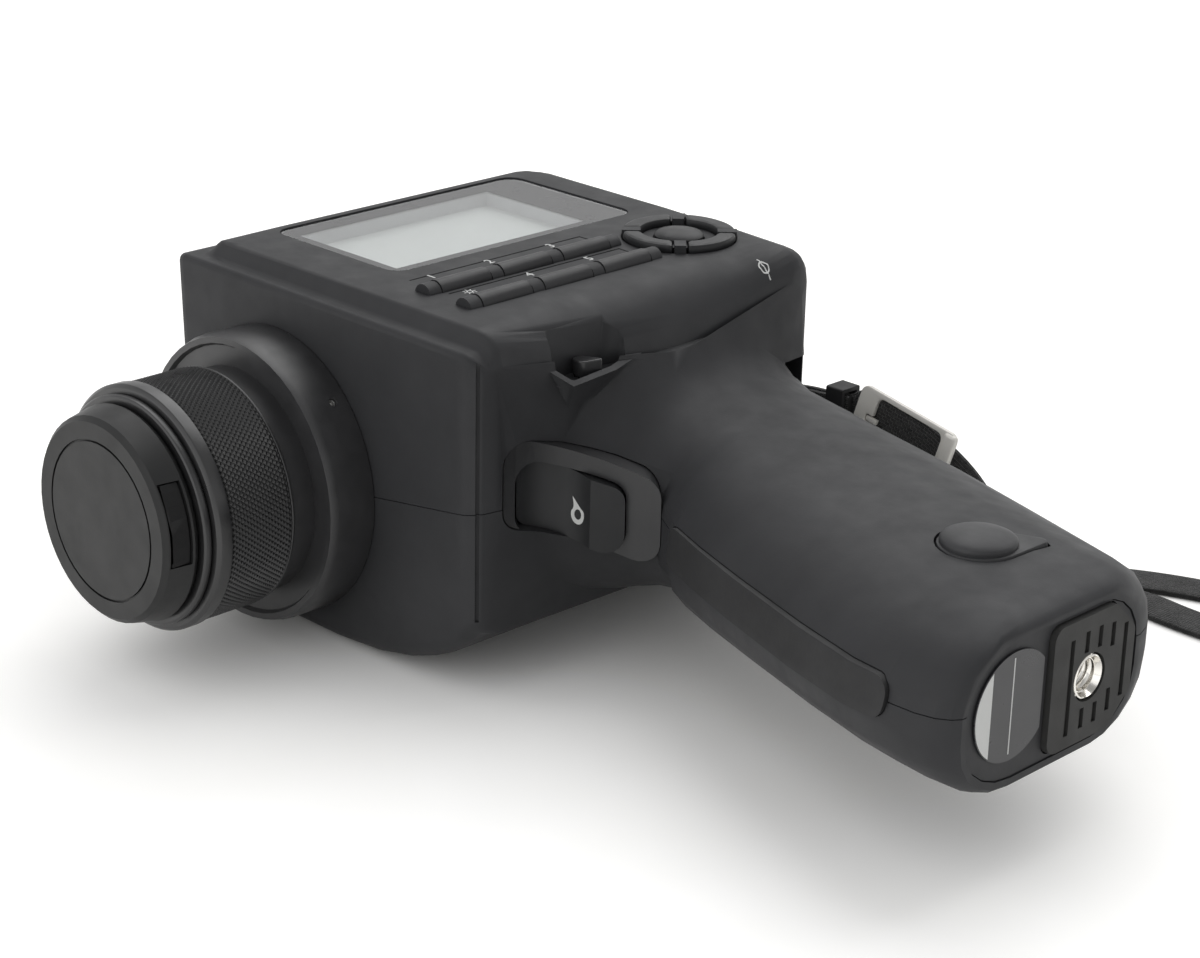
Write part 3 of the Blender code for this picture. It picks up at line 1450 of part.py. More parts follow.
def pad_key(index):
    """A quarter ring with a stem that goes down through the shell."""
    name = ("key_below", "key_rear", "key_above", "key_front")[index]
    turn = 90 * index
    split = math.degrees(PAD_SPLIT / 2 / PAD_RADIUS)
    split_in = math.degrees(PAD_SPLIT / 2 / PAD_INNER)
    outline = arc((0, 0), PAD_RADIUS, turn - 45 + split, turn + 45 - split, 10)
    outline += arc((0, 0), PAD_INNER, turn + 45 - split_in, turn - 45 + split_in, 8)
    low = BODY_LEFT - PAD_SINK
    key = prism(name, outline, low, BODY_LEFT + PAD_RISE, 2, KEY_GREY, (PAD_X, PAD_Y, 0))
    reach = (PAD_RADIUS + PAD_INNER) / 2
    radians = math.radians(turn)
    at = (PAD_X + reach * math.cos(radians), PAD_Y + reach * math.sin(radians), 0)
    stem = rod(name + "_stem", PAD_STEM / 2, BODY_LEFT - WALL - GAP, low + GAP, None, at, steps=12)
    round_edges(key, PAD_ROUND)
    join(key, stem)
    smooth(key, 50)
    return key


def pad_keys():
    for index in range(4):
        pad_key(index)
    profile = [
        (0, BODY_LEFT + MIDDLE_RISE + MIDDLE_DOME),
        (MIDDLE_RADIUS * 0.55, BODY_LEFT + MIDDLE_RISE + MIDDLE_DOME * 0.75),
        (MIDDLE_RADIUS - MIDDLE_DOME, BODY_LEFT + MIDDLE_RISE),
        (MIDDLE_RADIUS, BODY_LEFT + MIDDLE_RISE - MIDDLE_DOME),
        (MIDDLE_RADIUS, BODY_LEFT - WALL - GAP),
        (0, BODY_LEFT - WALL - GAP),
    ]
    button = turned("middle_button", profile, KEY_GREY, (PAD_X, PAD_Y, 0), UPRIGHT, False, 32)
    smooth(button)


def boards():
    top = BODY_LEFT - WALL - MAT_CLEAR - KEY_TRAVEL
    left, front = KEY_ROWS_X[0] - WALL * 2, KEY_START_Y + BOSS_RADIUS / 2
    low, high = (left, front, top - MAT_THICK), (BOARD_X[1], BOARD_Y[1], top)
    mat = block("key_mat", low, high, SOFT_RUBBER)
    low = (left, front, top - MAT_THICK / 2)
    high = (left + MAT_EDGE, KEY_LINE_Y[1], BODY_LEFT - WALL - GAP)
    join(mat, block("mat_edge", low, high, None))
    board = block(
        "main_board",
        (BOARD_X[0], BOARD_Y[0], BOARD_Z),
        (BOARD_X[1], BOARD_Y[1], BOARD_Z + BOARD_THICK),
        BOARD_GREEN,
    )
    for x, y in HOUSING_SCREWS[-1:]:
        low = (x - BOSS_RADIUS - GAP * 2, BOARD_Y[0] - OVERRUN, BOARD_Z - OVERRUN)
        high = (BOARD_X[1] + OVERRUN, y + BOSS_RADIUS + GAP * 2, BODY_LEFT)
        cut(board, block("board_notch", low, high, None))
    return board


def optics():
    y0, y1 = BENCH_Y
    half = BENCH_HALF
    bench = block("optical_bench", (-half, y0, -half), (half, y1, half), BLACK_METAL)
    inside = block(
        "bench_inside",
        (-half + BENCH_WALL, y0 + BENCH_WALL, -half - OVERRUN),
        (half - BENCH_WALL, y1 - BENCH_WALL, half - BENCH_WALL),
        None,
    )
    light = rod("bench_window", BENCH_WINDOW, -y1 - OVERRUN, -y0 + OVERRUN, None, turn=FRONTWARD, steps=32)
    cut(bench, inside, light)
    mirror = centred_block(
        "aperture_mirror",
        (MIRROR_HALF * 2, MIRROR_THICK, (half - BENCH_WALL - GAP) * 2),
        BRIGHT_METAL,
        0,
        1,
        (0, MIRROR_Y, 0),
        (0, 0, math.radians(45)),
    )
    at = (0, MIRROR_Y, 0)
    cut(mirror, rod("aperture", MIRROR_HOLE, -MIRROR_HALF, MIRROR_HALF, None, at, FRONTWARD, 16))
    front = y1 + GAP
    sensor = block(
        "sensor_block",
        (-SENSOR_HALF * 2, front, -SENSOR_HALF * 2),
        (SENSOR_HALF * 2, front + SENSOR_RISE, SENSOR_HALF * 2),
        BLACK_PLASTIC,
    )
    return sensor


def eyepiece():
    rear = BODY_DEPTH + EYE_RING_LENGTH
    inner = BENCH_Y[1] + GAP * 2 + SENSOR_RISE
    profile = [
        (EYE_TUBE_BORE, -inner),
        (EYE_TUBE_RADIUS, -inner),
        (EYE_TUBE_RADIUS, -rear - EYE_CUP_LENGTH / 3),
        (EYE_TUBE_BORE, -rear - EYE_CUP_LENGTH / 3),
    ]
    tube = turned("eyepiece_tube", profile, BLACK_METAL, steps=EYE_STEPS)
    smooth(tube)
    edge, sag = EYE_GLASS_THICK / 2, EYE_GLASS_THICK / 3
    glass("eyepiece_lens", EYE_TUBE_BORE - GAP, edge, sag, -rear + EYE_GLASS_THICK)
    bore = EYE_TUBE_RADIUS + RUNNING_GAP
    ring_front, ring_rear = -BODY_DEPTH - GAP, -rear
    profile = [
        (bore, ring_front),
        (EYE_RING_RADIUS - KNURL_DEPTH, ring_front),
        (EYE_RING_RADIUS, ring_front - KNURL_DEPTH),
        (EYE_RING_RADIUS, ring_rear + KNURL_DEPTH),
        (EYE_RING_RADIUS - KNURL_DEPTH, ring_rear),
        (bore, ring_rear),
    ]
    ring = turned("diopter_ring", profile, BLACK_PLASTIC, steps=EYE_STEPS)
    smooth(ring)
    start = ring_rear - GAP
    profile = [
        (EYE_TUBE_RADIUS + GAP, start),
        (EYE_RING_RADIUS, start),
        (EYE_CUP_RADIUS, start - EYE_CUP_LENGTH * 0.7),
        (EYE_CUP_RADIUS - GAP * 2, start - EYE_CUP_LENGTH),
        (EYE_CUP_RADIUS - WALL, start - EYE_CUP_LENGTH),
        (EYE_TUBE_RADIUS + GAP, start - EYE_CUP_LENGTH / 2),
    ]
    cup = turned("eye_cup", profile, SOFT_RUBBER, steps=EYE_STEPS)
    smooth(cup)


def hollow_at(radius, low, shift):
    """Centre of an upright cylinder that carves a hollow down to a depth below the plane."""
    out, along = TRIGGER_OUT, (-TRIGGER_OUT[1], TRIGGER_OUT[0])
    reach = radius - low
    return (
        TRIGGER_X + out[0] * reach + along[0] * shift,
        TRIGGER_Y + out[1] * reach + along[1] * shift,
        TRIGGER_Z,
    )


def build_trigger():
    """Bezel, measuring button and the switch behind it, in a frame turned to the hollow."""
    far = BODY_LEFT
    bezel = trigger_prism(
        "trigger_bezel", BEZEL_OUTLINE, BEZEL_CORNER, BEZEL_BACK, BEZEL_OUT, BLACK_PLASTIC
    )
    centre = hollow_at(BEZEL_HOLLOW_RADIUS, BEZEL_HOLLOW_LOW, BEZEL_HOLLOW_SHIFT)
    hollow = rod("bezel_hollow", BEZEL_HOLLOW_RADIUS, -far, far, None, centre, UPRIGHT, 72)
    way = trigger_prism(
        "button_way", BUTTON_OUTLINE, BUTTON_CORNER, BEZEL_BACK * 2, BEZEL_OUT * 3, None, RUNNING_GAP
    )
    cut(bezel, hollow, way)
    smooth(bezel, 30)
    button = trigger_prism(
        "measuring_button", BUTTON_OUTLINE, BUTTON_CORNER, BUTTON_BACK, BUTTON_OUT, BLACK_PLASTIC
    )
    centre = hollow_at(BUTTON_SCOOP_RADIUS, BUTTON_SCOOP_LOW, BUTTON_SCOOP_SHIFT)
    scoop = rod("button_scoop", BUTTON_SCOOP_RADIUS, -far, far, None, centre, UPRIGHT, 48)
    cut(button, scoop)
    smooth(button, 30)
    face = BUTTON_BACK + BUTTON_TRAVEL + GAP
    end = ARM_REACH - ARM_THICK / 2
    front = BEZEL_BACK + GAP
    ear = face - front + ARM_THICK
    switch = switch_block("trigger_switch", SWITCH_LONG, SWITCH_THICK, SWITCH_SHIFT, face, BLACK_PLASTIC)
    arm = switch_block("switch_arm", ARM_REACH * 2, ARM_THICK, 0, face)
    ears = [switch_block(f"switch_ear_{side}", ARM_THICK, ear, end * side, front) for side in (-1, 1)]
    join(switch, arm, *ears)


def switch_block(name, long, thick, along, front, look=None):
    size, shift = (long, thick, SWITCH_TALL), (along, front + thick / 2, 0)
    return centred_block(name, size, look, 0, 1, TRIGGER_AT, trigger_turn(), shift)


def selector():
    outline = jack_outline(KNOB_RADIUS, KNOB_TIP, KNOB_TIP_HALF)
    low = POCKET_FLOOR + GAP
    at, turn = (KNOB_X, KNOB_Y, 0), (0, 0, KNOB_TURN)
    knob = prism("selector_knob", outline, low, low + KNOB_RISE, 2, BLACK_PLASTIC, at, turn)
    round_edges(knob, KNOB_TIP_HALF)
    stem = rod("knob_stem", KNOB_STEM_RADIUS, POCKET_FLOOR - KNOB_STEM_DEEP, low + GAP, None, at, steps=12)
    join(knob, stem)
    smooth(knob)


def finger_strip():
    rows = [grip_row(shares, -strip_proud(shares[0])) for shares in GRIP_SECTION_SHARES]
    strip = place("finger_strip", mesh_from("finger_strip", loft(rows)), SOFT_RUBBER)
    combine(strip, strip_band("strip_keep", 0), "INTERSECT")
    cut(strip, grip_core("strip_core", STRIP_DEEP))
    smooth(strip, 35)
    return strip


def grip_end():
    _, outline = grip_row(GRIP_SECTION_SHARES[-1], GRIP_END_WALL + GAP)
    form = bmesh.new()
    ring = [form.verts.new((BODY_END - BASE_THICK, y, z)) for y, z in outline]
    face = form.faces.new(ring)
    drawn = bmesh.ops.extrude_face_region(form, geom=[face])
    far = [item for item in drawn["geom"] if isinstance(item, bmesh.types.BMVert)]
    bmesh.ops.translate(form, vec=(BASE_THICK - GAP, 0, 0), verts=far)
    plate = place("base_plate", mesh_from("base_plate", form), DARK_SHELL)
    inner, at = BODY_END - SOCKET_LENGTH, (0, SOCKET_Y, 0)
    boss = rod("socket_boss", SOCKET_BOSS, inner, BODY_END - FOOT_SUNK - GAP * 2, None, at, DOWNGRIP, 24)
    join(plate, boss)
    bed = prism("foot_bed", foot_outline(GAP), BODY_END - FOOT_SUNK - GAP, BODY_END + OVERRUN, 0, None)
    low, high = inner - OVERRUN, BODY_END + OVERRUN
    hole = rod("socket_hole", SOCKET_RADIUS + GAP, low, high, None, at, DOWNGRIP, 32)
    cut(plate, bed, hole)
    low, high = BODY_END - FOOT_SUNK, BODY_END + FOOT_PROUD
    foot = prism("rubber_foot", foot_outline(0), low, high, 0, SOFT_RUBBER)
    cut(foot, hole)
    for index, (y, z_low, z_high) in enumerate(foot_slots()):
        slot = block(
            f"foot_slot_{index}",
            (BODY_END + FOOT_PROUD - FOOT_SLOT_DEEP, y - FOOT_SLOT / 2, z_low),
            (BODY_END + FOOT_PROUD + OVERRUN, y + FOOT_SLOT / 2, z_high),
            None,
        )
        cut(foot, slot)
    profile = [
        (SOCKET_BORE, BODY_END - GAP),
        (SOCKET_RADIUS, BODY_END - GAP),
        (SOCKET_RADIUS, BODY_END - SOCKET_LENGTH),
        (SOCKET_BORE, BODY_END - SOCKET_LENGTH),
    ]
    socket = turned("tripod_socket", profile, BRIGHT_METAL, (0, SOCKET_Y, 0), DOWNGRIP, True, 32)
    smooth(socket)
    prism("label_plate", label_outline(), BODY_END, BODY_END + LABEL_THICK, 0, LABEL_GREY)


def foot_outline(grow):
    """The foot as seen from the grip's end: its two rear corners are cut off."""
    front, rear, half = FOOT_Y[0] - grow, FOOT_Y[1] + grow, FOOT_HALF + grow
    back, in_z = FOOT_TAPER
    corners = (
        (front, -half),
        (rear - back, -half),
        (rear, -half + in_z),
        (rear, half - in_z),
        (rear - back, half),
        (front, half),
    )
    return rounded_outline(corners, FOOT_CORNER)


def label_outline():
    """The label's two front corners are cut off."""
    front, rear, half = LABEL_Y[0], LABEL_Y[1], LABEL_HALF
    back, in_z = LABEL_TAPER
    corners = (
        (front, -half + in_z),
        (front + back, -half),
        (rear, -half),
        (rear, half),
        (front + back, half),
        (front, half - in_z),
    )
    return rounded_outline(corners, LABEL_CORNER, 3)


FOOT_SLOT_SHARES = (
    (0.22, -0.80, 0.72),
    (0.40, 0.42, 0.76),
    (0.56, 0.42, 0.76),
    (0.72, 0.34, 0.72),
    (0.40, -0.78, -0.46),
    (0.56, -0.78, -0.46),
    (0.72, -0.70, -0.34),
    (0.88, -0.56, 0.62),
)


def foot_slots():
    wide = FOOT_Y[1] - FOOT_Y[0]
    return [(FOOT_Y[0] + wide * y, FOOT_HALF * low, FOOT_HALF * high) for y, low, high in FOOT_SLOT_SHARES]


def power():
    for index, side in enumerate((-1, 1)):
        y = CELLS_Y + side * CELL_SPACING / 2
        flip = DOWNGRIP if side > 0 else (0, -math.pi / 2, 0)
        start = CELL_START if side > 0 else -(CELL_START + CELL_LENGTH + CELL_NUB)
        profile = [
            (0, start + CELL_LENGTH + CELL_NUB),
            (CELL_NUB_RADIUS, start + CELL_LENGTH + CELL_NUB),
            (CELL_NUB_RADIUS, start + CELL_LENGTH),
            (CELL_RADIUS - GAP, start + CELL_LENGTH),
            (CELL_RADIUS, start + CELL_LENGTH - GAP),
            (CELL_RADIUS, start),
            (0, start),
        ]
        cell = turned(f"battery_{index + 1}", profile, CELL_SKIN, (0, y, CELLS_Z), flip, False, 32)
        smooth(cell)
    x0 = CELL_START - CONTACT_THICK - GAP * 2
    x1 = CELL_START + CELL_LENGTH + CELL_NUB + CONTACT_THICK + GAP * 2
    half = CELL_SPACING / 2 + CELL_RADIUS + GAP
    top = CELLS_Z + CELL_RADIUS + GAP
    tray = block(
        "battery_tray",
        (x0 - TRAY_WALL, CELLS_Y - half - TRAY_SIDE, CELLS_Z - CELL_RADIUS / 2),
        (x1 + TRAY_WALL, CELLS_Y + half + TRAY_SIDE, top + TRAY_WALL),
        BLACK_PLASTIC,
    )
    inside = block(
        "tray_inside",
        (x0, CELLS_Y - half, CELLS_Z - CELL_RADIUS * 2),
        (x1, CELLS_Y + half, top),
        None,
    )
    cut(tray, inside)
    for name, x in (("contact_upper", x0 + GAP), ("contact_lower", x1 - GAP - CONTACT_THICK)):
        block(
            name,
            (x, CELLS_Y - CELL_SPACING / 2 - CONTACT_HALF, CELLS_Z - CONTACT_HALF),
            (x + CONTACT_THICK, CELLS_Y + CELL_SPACING / 2 + CONTACT_HALF, CELLS_Z + CONTACT_HALF),
            BRASS_METAL,
        )


def battery_cover():
    cover = body_form("battery_cover", DARK_SHELL)
    cover.data = cover.data.copy()
    cut(cover, bpy.data.objects["hollow"])
    window = cover_box("cover_window", 0)
    combine(cover, window, "INTERSECT")
    smooth(cover, 35)


def jack():
    turn = (0, 0, JACK_TURN)
    top = JACK_POCKET_FLOOR
    body = centred_block(
        "jack_socket",
        JACK_BLOCK,
        BLACK_PLASTIC,
        0,
        2,
        (JACK_X, JACK_Y, top - JACK_BLOCK[2] / 2),
        turn,
    )
    cut(
        body,
        centred_block(
            "jack_mouth",
            (JACK_MOUTH[0], JACK_MOUTH[1], JACK_MOUTH[2] * 2),
            None,
            0,
            2,
            (JACK_X, JACK_Y, top),
            turn,
        ),
    )
    outline = jack_outline(JACK_COVER_RADIUS, JACK_COVER_TIP, JACK_TIP_HALF)
    high = JACK_POCKET_FLOOR + GAP + JACK_COVER_THICK
    tip = (JACK_COVER_TIP * math.cos(JACK_TURN), JACK_COVER_TIP * math.sin(JACK_TURN))
    cover = prism(
        "jack_cover",
        [(x - JACK_COVER_TIP, y) for x, y in outline],
        -JACK_COVER_THICK,
        0,
        2,
        SOFT_RUBBER,
        (JACK_X + tip[0], JACK_Y + tip[1], high),
        turn,
    )
    round_edges(cover, JACK_DOME, 2)


def band(name, path, widths, look):
    """Flat webbing through places, each with its own direction and width across."""
    form = bmesh.new()
    rings = []
    thick = STRAP_THICK / 2
    for i, place_at in enumerate(path):
        before, after = path[max(i - 1, 0)], path[min(i + 1, len(path) - 1)]
        ahead = (Vector(after) - Vector(before)).normalized()
        across, half = Vector(widths[i][:3]), STRAP_WIDTH / 2 * widths[i][3]
        across = (across - ahead * across.dot(ahead)).normalized()
        out = ahead.cross(across)
        ring = []
        for a, b in ((1, 1), (-1, 1), (-1, -1), (1, -1)):
            ring.append(form.verts.new(Vector(place_at) + across * half * a + out * thick * b))
        rings.append(ring)
    for here, there in zip(rings, rings[1:]):
        for i in range(4):
            j = (i + 1) % 4
            form.faces.new((here[i], here[j], there[j], there[i]))
    form.faces.new(rings[0])
    form.faces.new(rings[-1])
    return place(name, mesh_from(name, form), look)


def strap_path():
    """Places along the webbing, and its direction across: upright near the bar, flat later."""
    folded = [row[:3] for row in STRAP_START]
    shares = [row[3] for row in STRAP_START]
    turn_end = STRAP_LEAVES - 270
    for x, y in arc((LUG_X, LUG_Y), STRAP_BEND, STRAP_LEAVES - 90, turn_end, 8):
        folded.append((x, y, STRAP_LOOP_Z))
        shares.append(STRAP_FOLDED_SHARE)
    folded += [row[:3] for row in STRAP_LOOP_OUT]
    shares += [row[3] for row in STRAP_LOOP_OUT]
    path = folded + [row[:3] for row in STRAP_RUN]
    widths = [(0, 0, 1, share) for share in shares]
    for i, row in enumerate(STRAP_RUN):
        here = len(folded) + i
        before, after = path[here - 1], path[min(here + 1, len(path) - 1)]
        side = Vector((before[1] - after[1], after[0] - before[0], 0)).normalized()
        lie = math.pi / 2 * row[3]
        across = side * math.sin(lie) + Vector((0, 0, 1)) * math.cos(lie)
        widths.append((*across, 1))
    return path, widths


def strap():
    path, widths = strap_path()
    webbing = band("wrist_strap", path, widths, WEBBING)
    smooth(webbing, 50)
    at = (LUG_X, LUG_Y, 0)
    low, high = BAY_Z[0] - LUG_SEATED, BAY_Z[1] + LUG_SEATED
    rod("strap_bar", LUG_RADIUS, low, high, BRIGHT_METAL, at, steps=16)
    mid_z = (ramp_z(KEEPER_X[0]) + ramp_z(KEEPER_X[1])) / 2
    tall = STRAP_WIDTH / 2 * KEEPER_TALL_SHARE + KEEPER_SPARE
    keeper = block(
        "strap_keeper",
        (KEEPER_X[0], KEEPER_Y[0] - KEEPER_WALL, mid_z - tall - KEEPER_WALL),
        (KEEPER_X[1], KEEPER_Y[1] + KEEPER_WALL, mid_z + tall + KEEPER_WALL),
        SOFT_RUBBER,
        KEEPER_WALL / 2,
        0,
    )
    way = block(
        "keeper_way",
        (KEEPER_X[0] - OVERRUN, KEEPER_Y[0], mid_z - tall),
        (KEEPER_X[1] + OVERRUN, KEEPER_Y[1], mid_z + tall),
        None,
    )
    cut(keeper, way)
    middle = (BUCKLE_X[0] + BUCKLE_X[1]) / 2
    at = (middle, BUCKLE_Y, ramp_z(middle))
    long = BUCKLE_X[1] - BUCKLE_X[0]
    turn = (0, BUCKLE_FALL, 0)
    buckle = centred_block(
        "strap_buckle", (long, BUCKLE_THICK, BUCKLE_HALF * 2), BRIGHT_METAL, BUCKLE_BAR, 1, at, turn
    )
    inside = (long - BUCKLE_BAR * 2, BUCKLE_THICK * 2, (BUCKLE_HALF - BUCKLE_BAR) * 2)
    cut(buckle, centred_block("buckle_way", inside, None, BUCKLE_BAR / 2, 1, at, turn))
    smooth(buckle)


def ramp_z(x):
    """Height of the webbing's middle line at a place beside the grip."""
    return ramp([(row[0], row[2]) for row in STRAP_RUN[:5]], x)


def build():
    upper_shell()
    lower_shell()
    shell_screws()
    lens_mount()
    focus_ring()
    lens_barrel()
    lens_glasses()
    lens_cap()
    cap_tabs()
    display_parts()
    keys()
    pad_keys()
    boards()
    optics()
    eyepiece()
    build_trigger()
    selector()
    finger_strip()
    grip_end()
    power()
    battery_cover()
    jack()
    strap()


build()
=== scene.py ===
# %% [markdown]
# # A spot chroma meter, dressed from its solids
# The solids of a chroma meter are loaded as a fixed frame: a square housing with a focusing lens,
# a grip that runs off to one side, and a wrist strap on the floor. They have the right sizes and
# joints, but plain looks. This lesson gives them moulded, machined, rubber and woven finishes, and
# models the pieces whose detail the solids leave out. Every length is in metres, and a place is
# written in millimetres from the lens axis, as on a drawing.

# %% Load the solids
import json
import math

import bmesh
import bpy
from mathutils import Matrix, Vector


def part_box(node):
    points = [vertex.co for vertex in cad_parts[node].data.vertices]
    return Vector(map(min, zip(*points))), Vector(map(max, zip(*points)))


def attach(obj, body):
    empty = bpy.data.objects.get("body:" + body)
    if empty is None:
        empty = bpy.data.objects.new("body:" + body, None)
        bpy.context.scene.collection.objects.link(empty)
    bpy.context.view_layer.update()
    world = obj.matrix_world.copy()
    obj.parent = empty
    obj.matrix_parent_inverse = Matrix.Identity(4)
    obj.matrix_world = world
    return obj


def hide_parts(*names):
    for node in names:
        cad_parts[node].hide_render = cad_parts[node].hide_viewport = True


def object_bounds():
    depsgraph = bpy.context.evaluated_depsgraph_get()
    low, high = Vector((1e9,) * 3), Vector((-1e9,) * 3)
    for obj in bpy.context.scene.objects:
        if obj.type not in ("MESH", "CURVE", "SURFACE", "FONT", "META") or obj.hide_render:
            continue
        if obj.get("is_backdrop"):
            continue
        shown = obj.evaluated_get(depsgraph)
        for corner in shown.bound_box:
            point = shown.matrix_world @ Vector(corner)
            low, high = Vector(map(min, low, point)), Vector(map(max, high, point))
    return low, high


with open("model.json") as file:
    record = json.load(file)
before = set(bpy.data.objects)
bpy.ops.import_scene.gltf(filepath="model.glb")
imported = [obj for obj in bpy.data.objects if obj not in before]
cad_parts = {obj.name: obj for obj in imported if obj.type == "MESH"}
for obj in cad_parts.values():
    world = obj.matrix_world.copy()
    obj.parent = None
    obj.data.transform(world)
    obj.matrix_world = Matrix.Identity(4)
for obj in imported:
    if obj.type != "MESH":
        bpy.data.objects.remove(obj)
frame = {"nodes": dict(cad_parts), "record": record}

MM = 0.001
SAME_PLACE = 0.002 * MM
cad_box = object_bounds()
nodes = frame["nodes"]
body_of = {n: b for b, ns in frame["record"]["behaviour"]["bodies"].items() for n in ns}
bpy.ops.object.select_all(action="DESELECT")
print("solids:", len(nodes))


origin_x, origin_y, origin_z = 73.1, 32.75, -34.5


def spot(x, y, z):
    """A place in millimetres from the lens axis and the housing's front, in the shared frame."""
    return Vector(((x - origin_x) * MM, (y - origin_y) * MM, (z - origin_z) * MM))


def placed(name, data):
    thing = bpy.data.objects.new(name, data)
    bpy.context.scene.collection.objects.link(thing)
    return thing


# %% [markdown]
# The camera stands in front of the lens and to the grip's side, and looks down by about 21
# degrees. A camera can be aimed by turning it by hand, or by building its three directions from
# the two angles, which is exact. The photograph leans by a little more than one degree, so the
# picture's right and up directions are turned by that much. Its lens is long, so lines that run
# away from it close up only slightly.

# %% Camera
turn, lift, lean = math.radians(44.68), math.radians(21.30), math.radians(1.29)
back = Vector((math.sin(turn) * math.cos(lift), -math.cos(turn) * math.cos(lift), math.sin(lift)))
right = Vector((math.cos(turn), math.sin(turn), 0))
up = back.cross(right)
picture_right = right * math.cos(lean) + up * math.sin(lean)
picture_up = up * math.cos(lean) - right * math.sin(lean)
camera_data = bpy.data.cameras.new("camera")
camera_data.sensor_width = 36
camera_data.lens = 83.475
camera_data.clip_start, camera_data.clip_end = 0.01, 50
camera = placed("camera", camera_data)
camera_turn = Matrix((picture_right, picture_up, back)).transposed().to_4x4()
camera.matrix_world = Matrix.Translation(spot(433.6, -342.2, 212.5)) @ camera_turn
bpy.context.scene.camera = camera
print("camera at", [round(v, 3) for v in camera.matrix_world.translation])

# %% [markdown]
# The wrist strap is flat nylon webbing, 10.5 mm wide and 1.3 mm thick. It is looped round a steel
# bar in the housing's corner, held by a rubber keeper, passes behind a metal buckle, drops past
# the grip's rear edge to the table, makes one long loop there, and comes back up behind the
# buckle. Cloth could be simulated here, but a band keeps its width, so it is laid along its own
# line instead: each place has a position and a share of how flat it lies, from on edge beside
# the grip to flat on the table.

# %% The strap's route
strap_width, strap_thick = 10.5 * MM, 1.3 * MM
near_keeper = [
    (72.9, 99.1, 8.2, 0.66), (70.4, 99.1, 8.0, 0.62), (67.8, 99.0, 7.7, 0.62), (65.0, 98.9, 7.3, 0.64),
    (62.4, 98.4, 7.2, 0.66), (60.9, 96.6, 7.5, 0.66), (59.8, 94.0, 8.4, 0.66),
]
round_bar = [
    (57.2 + 2.1 * math.cos(a), 92.6 + 2.1 * math.sin(a), 9.0, 0.66)
    for a in (math.radians(-22 - 22.5 * i) for i in range(9))
]
out_again = [
    (56.4, 96.4, 7.5, 0.66), (57.9, 99.4, 7.0, 0.66), (60.6, 100.9, 6.9, 0.66), (65.0, 101.0, 7.3, 0.64),
    (68.6, 100.9, 7.8, 0.62), (72.4, 100.9, 8.2, 0.66),
]
lying_flat = [
    (112.6, 137.6), (117.2, 141.6), (123.0, 143.2), (130.9, 142.6), (140.0, 142.4), (154.0, 143.0),
    (170.0, 144.0), (184.0, 145.6), (194.0, 148.6), (200.4, 154.0), (201.4, 161.4), (196.4, 167.4),
    (187.0, 170.2), (174.0, 170.2), (158.0, 167.6), (142.0, 163.4), (128.0, 158.8), (120.6, 155.8),
]
round_table = [
    (76.0, 100.9, 8.4, 0), (84.0, 100.6, 7.2, 0), (91.6, 100.7, 5.4, 0), (98.2, 101.1, 1.8, 0),
    (102.6, 102.4, -3.2, 0.05), (105.8, 103.8, -8.2, 0.12), (107.8, 107.0, -13.0, 0.25),
    (108.8, 111.5, -17.6, 0.4), (109.2, 117.5, -23.5, 0.58), (109.0, 124.5, -29.2, 0.78),
    (109.8, 131.5, -32.6, 0.94), *((x, y, -33.7, 1) for x, y in lying_flat), (114.2, 152.2, -33.6, 1),
    (108.6, 147.6, -33.0, 0.96),
    (104.6, 142.2, -31.4, 0.88), (102.2, 136.0, -28.4, 0.74), (101.0, 129.4, -24.4, 0.6),
    (100.4, 122.6, -19.8, 0.46), (100.2, 116.2, -15.0, 0.34), (100.2, 110.6, -10.2, 0.22),
    (99.8, 106.2, -6.4, 0.11), (98.0, 103.6, -2.0, 0.03), (94.6, 102.6, 2.2, 0), (89.6, 102.4, 5.4, 0),
]
narrow = near_keeper + round_bar + out_again
route = [spot(*row[:3]) for row in narrow + round_table]
widths = [row[3] for row in narrow] + [1.0] * len(round_table)
across = [Vector((0, 0, 1))] * len(narrow)
for i, row in enumerate(round_table):
    here = len(narrow) + i
    before, after = route[here - 1], route[min(here + 1, len(route) - 1)]
    side = Vector((before.y - after.y, after.x - before.x, 0)).normalized()
    flat = math.pi / 2 * row[3]
    across.append(side * math.sin(flat) + Vector((0, 0, 1)) * math.cos(flat))
print("strap places:", len(route))

# %% [markdown]
# Between two places the webbing follows a smooth curve, so each stretch is filled with places in
# between, on a curve that passes through its neighbours. The section is a flat band with rounded
# edges. A map of the webbing, with millimetres along and across it, is stored on the mesh, so
# that a weave can follow every bend.

# %% Webbing
def between(p0, p1, p2, p3, t):
    """A point on the smooth curve from p1 to p2."""
    return 0.5 * (2 * p1 + (p2 - p0) * t + (2 * p0 - 5 * p1 + 4 * p2 - p3) * t**2
                  + (3 * p1 - p0 - 3 * p2 + p3) * t**3)


def filled(values, parts):
    last = len(values) - 1
    out = []
    for i in range(last):
        four = [values[max(i - 1, 0)], values[i], values[i + 1], values[min(i + 2, last)]]
        out += [between(*four, k / parts) for k in range(parts)]
    return out + [values[last]]


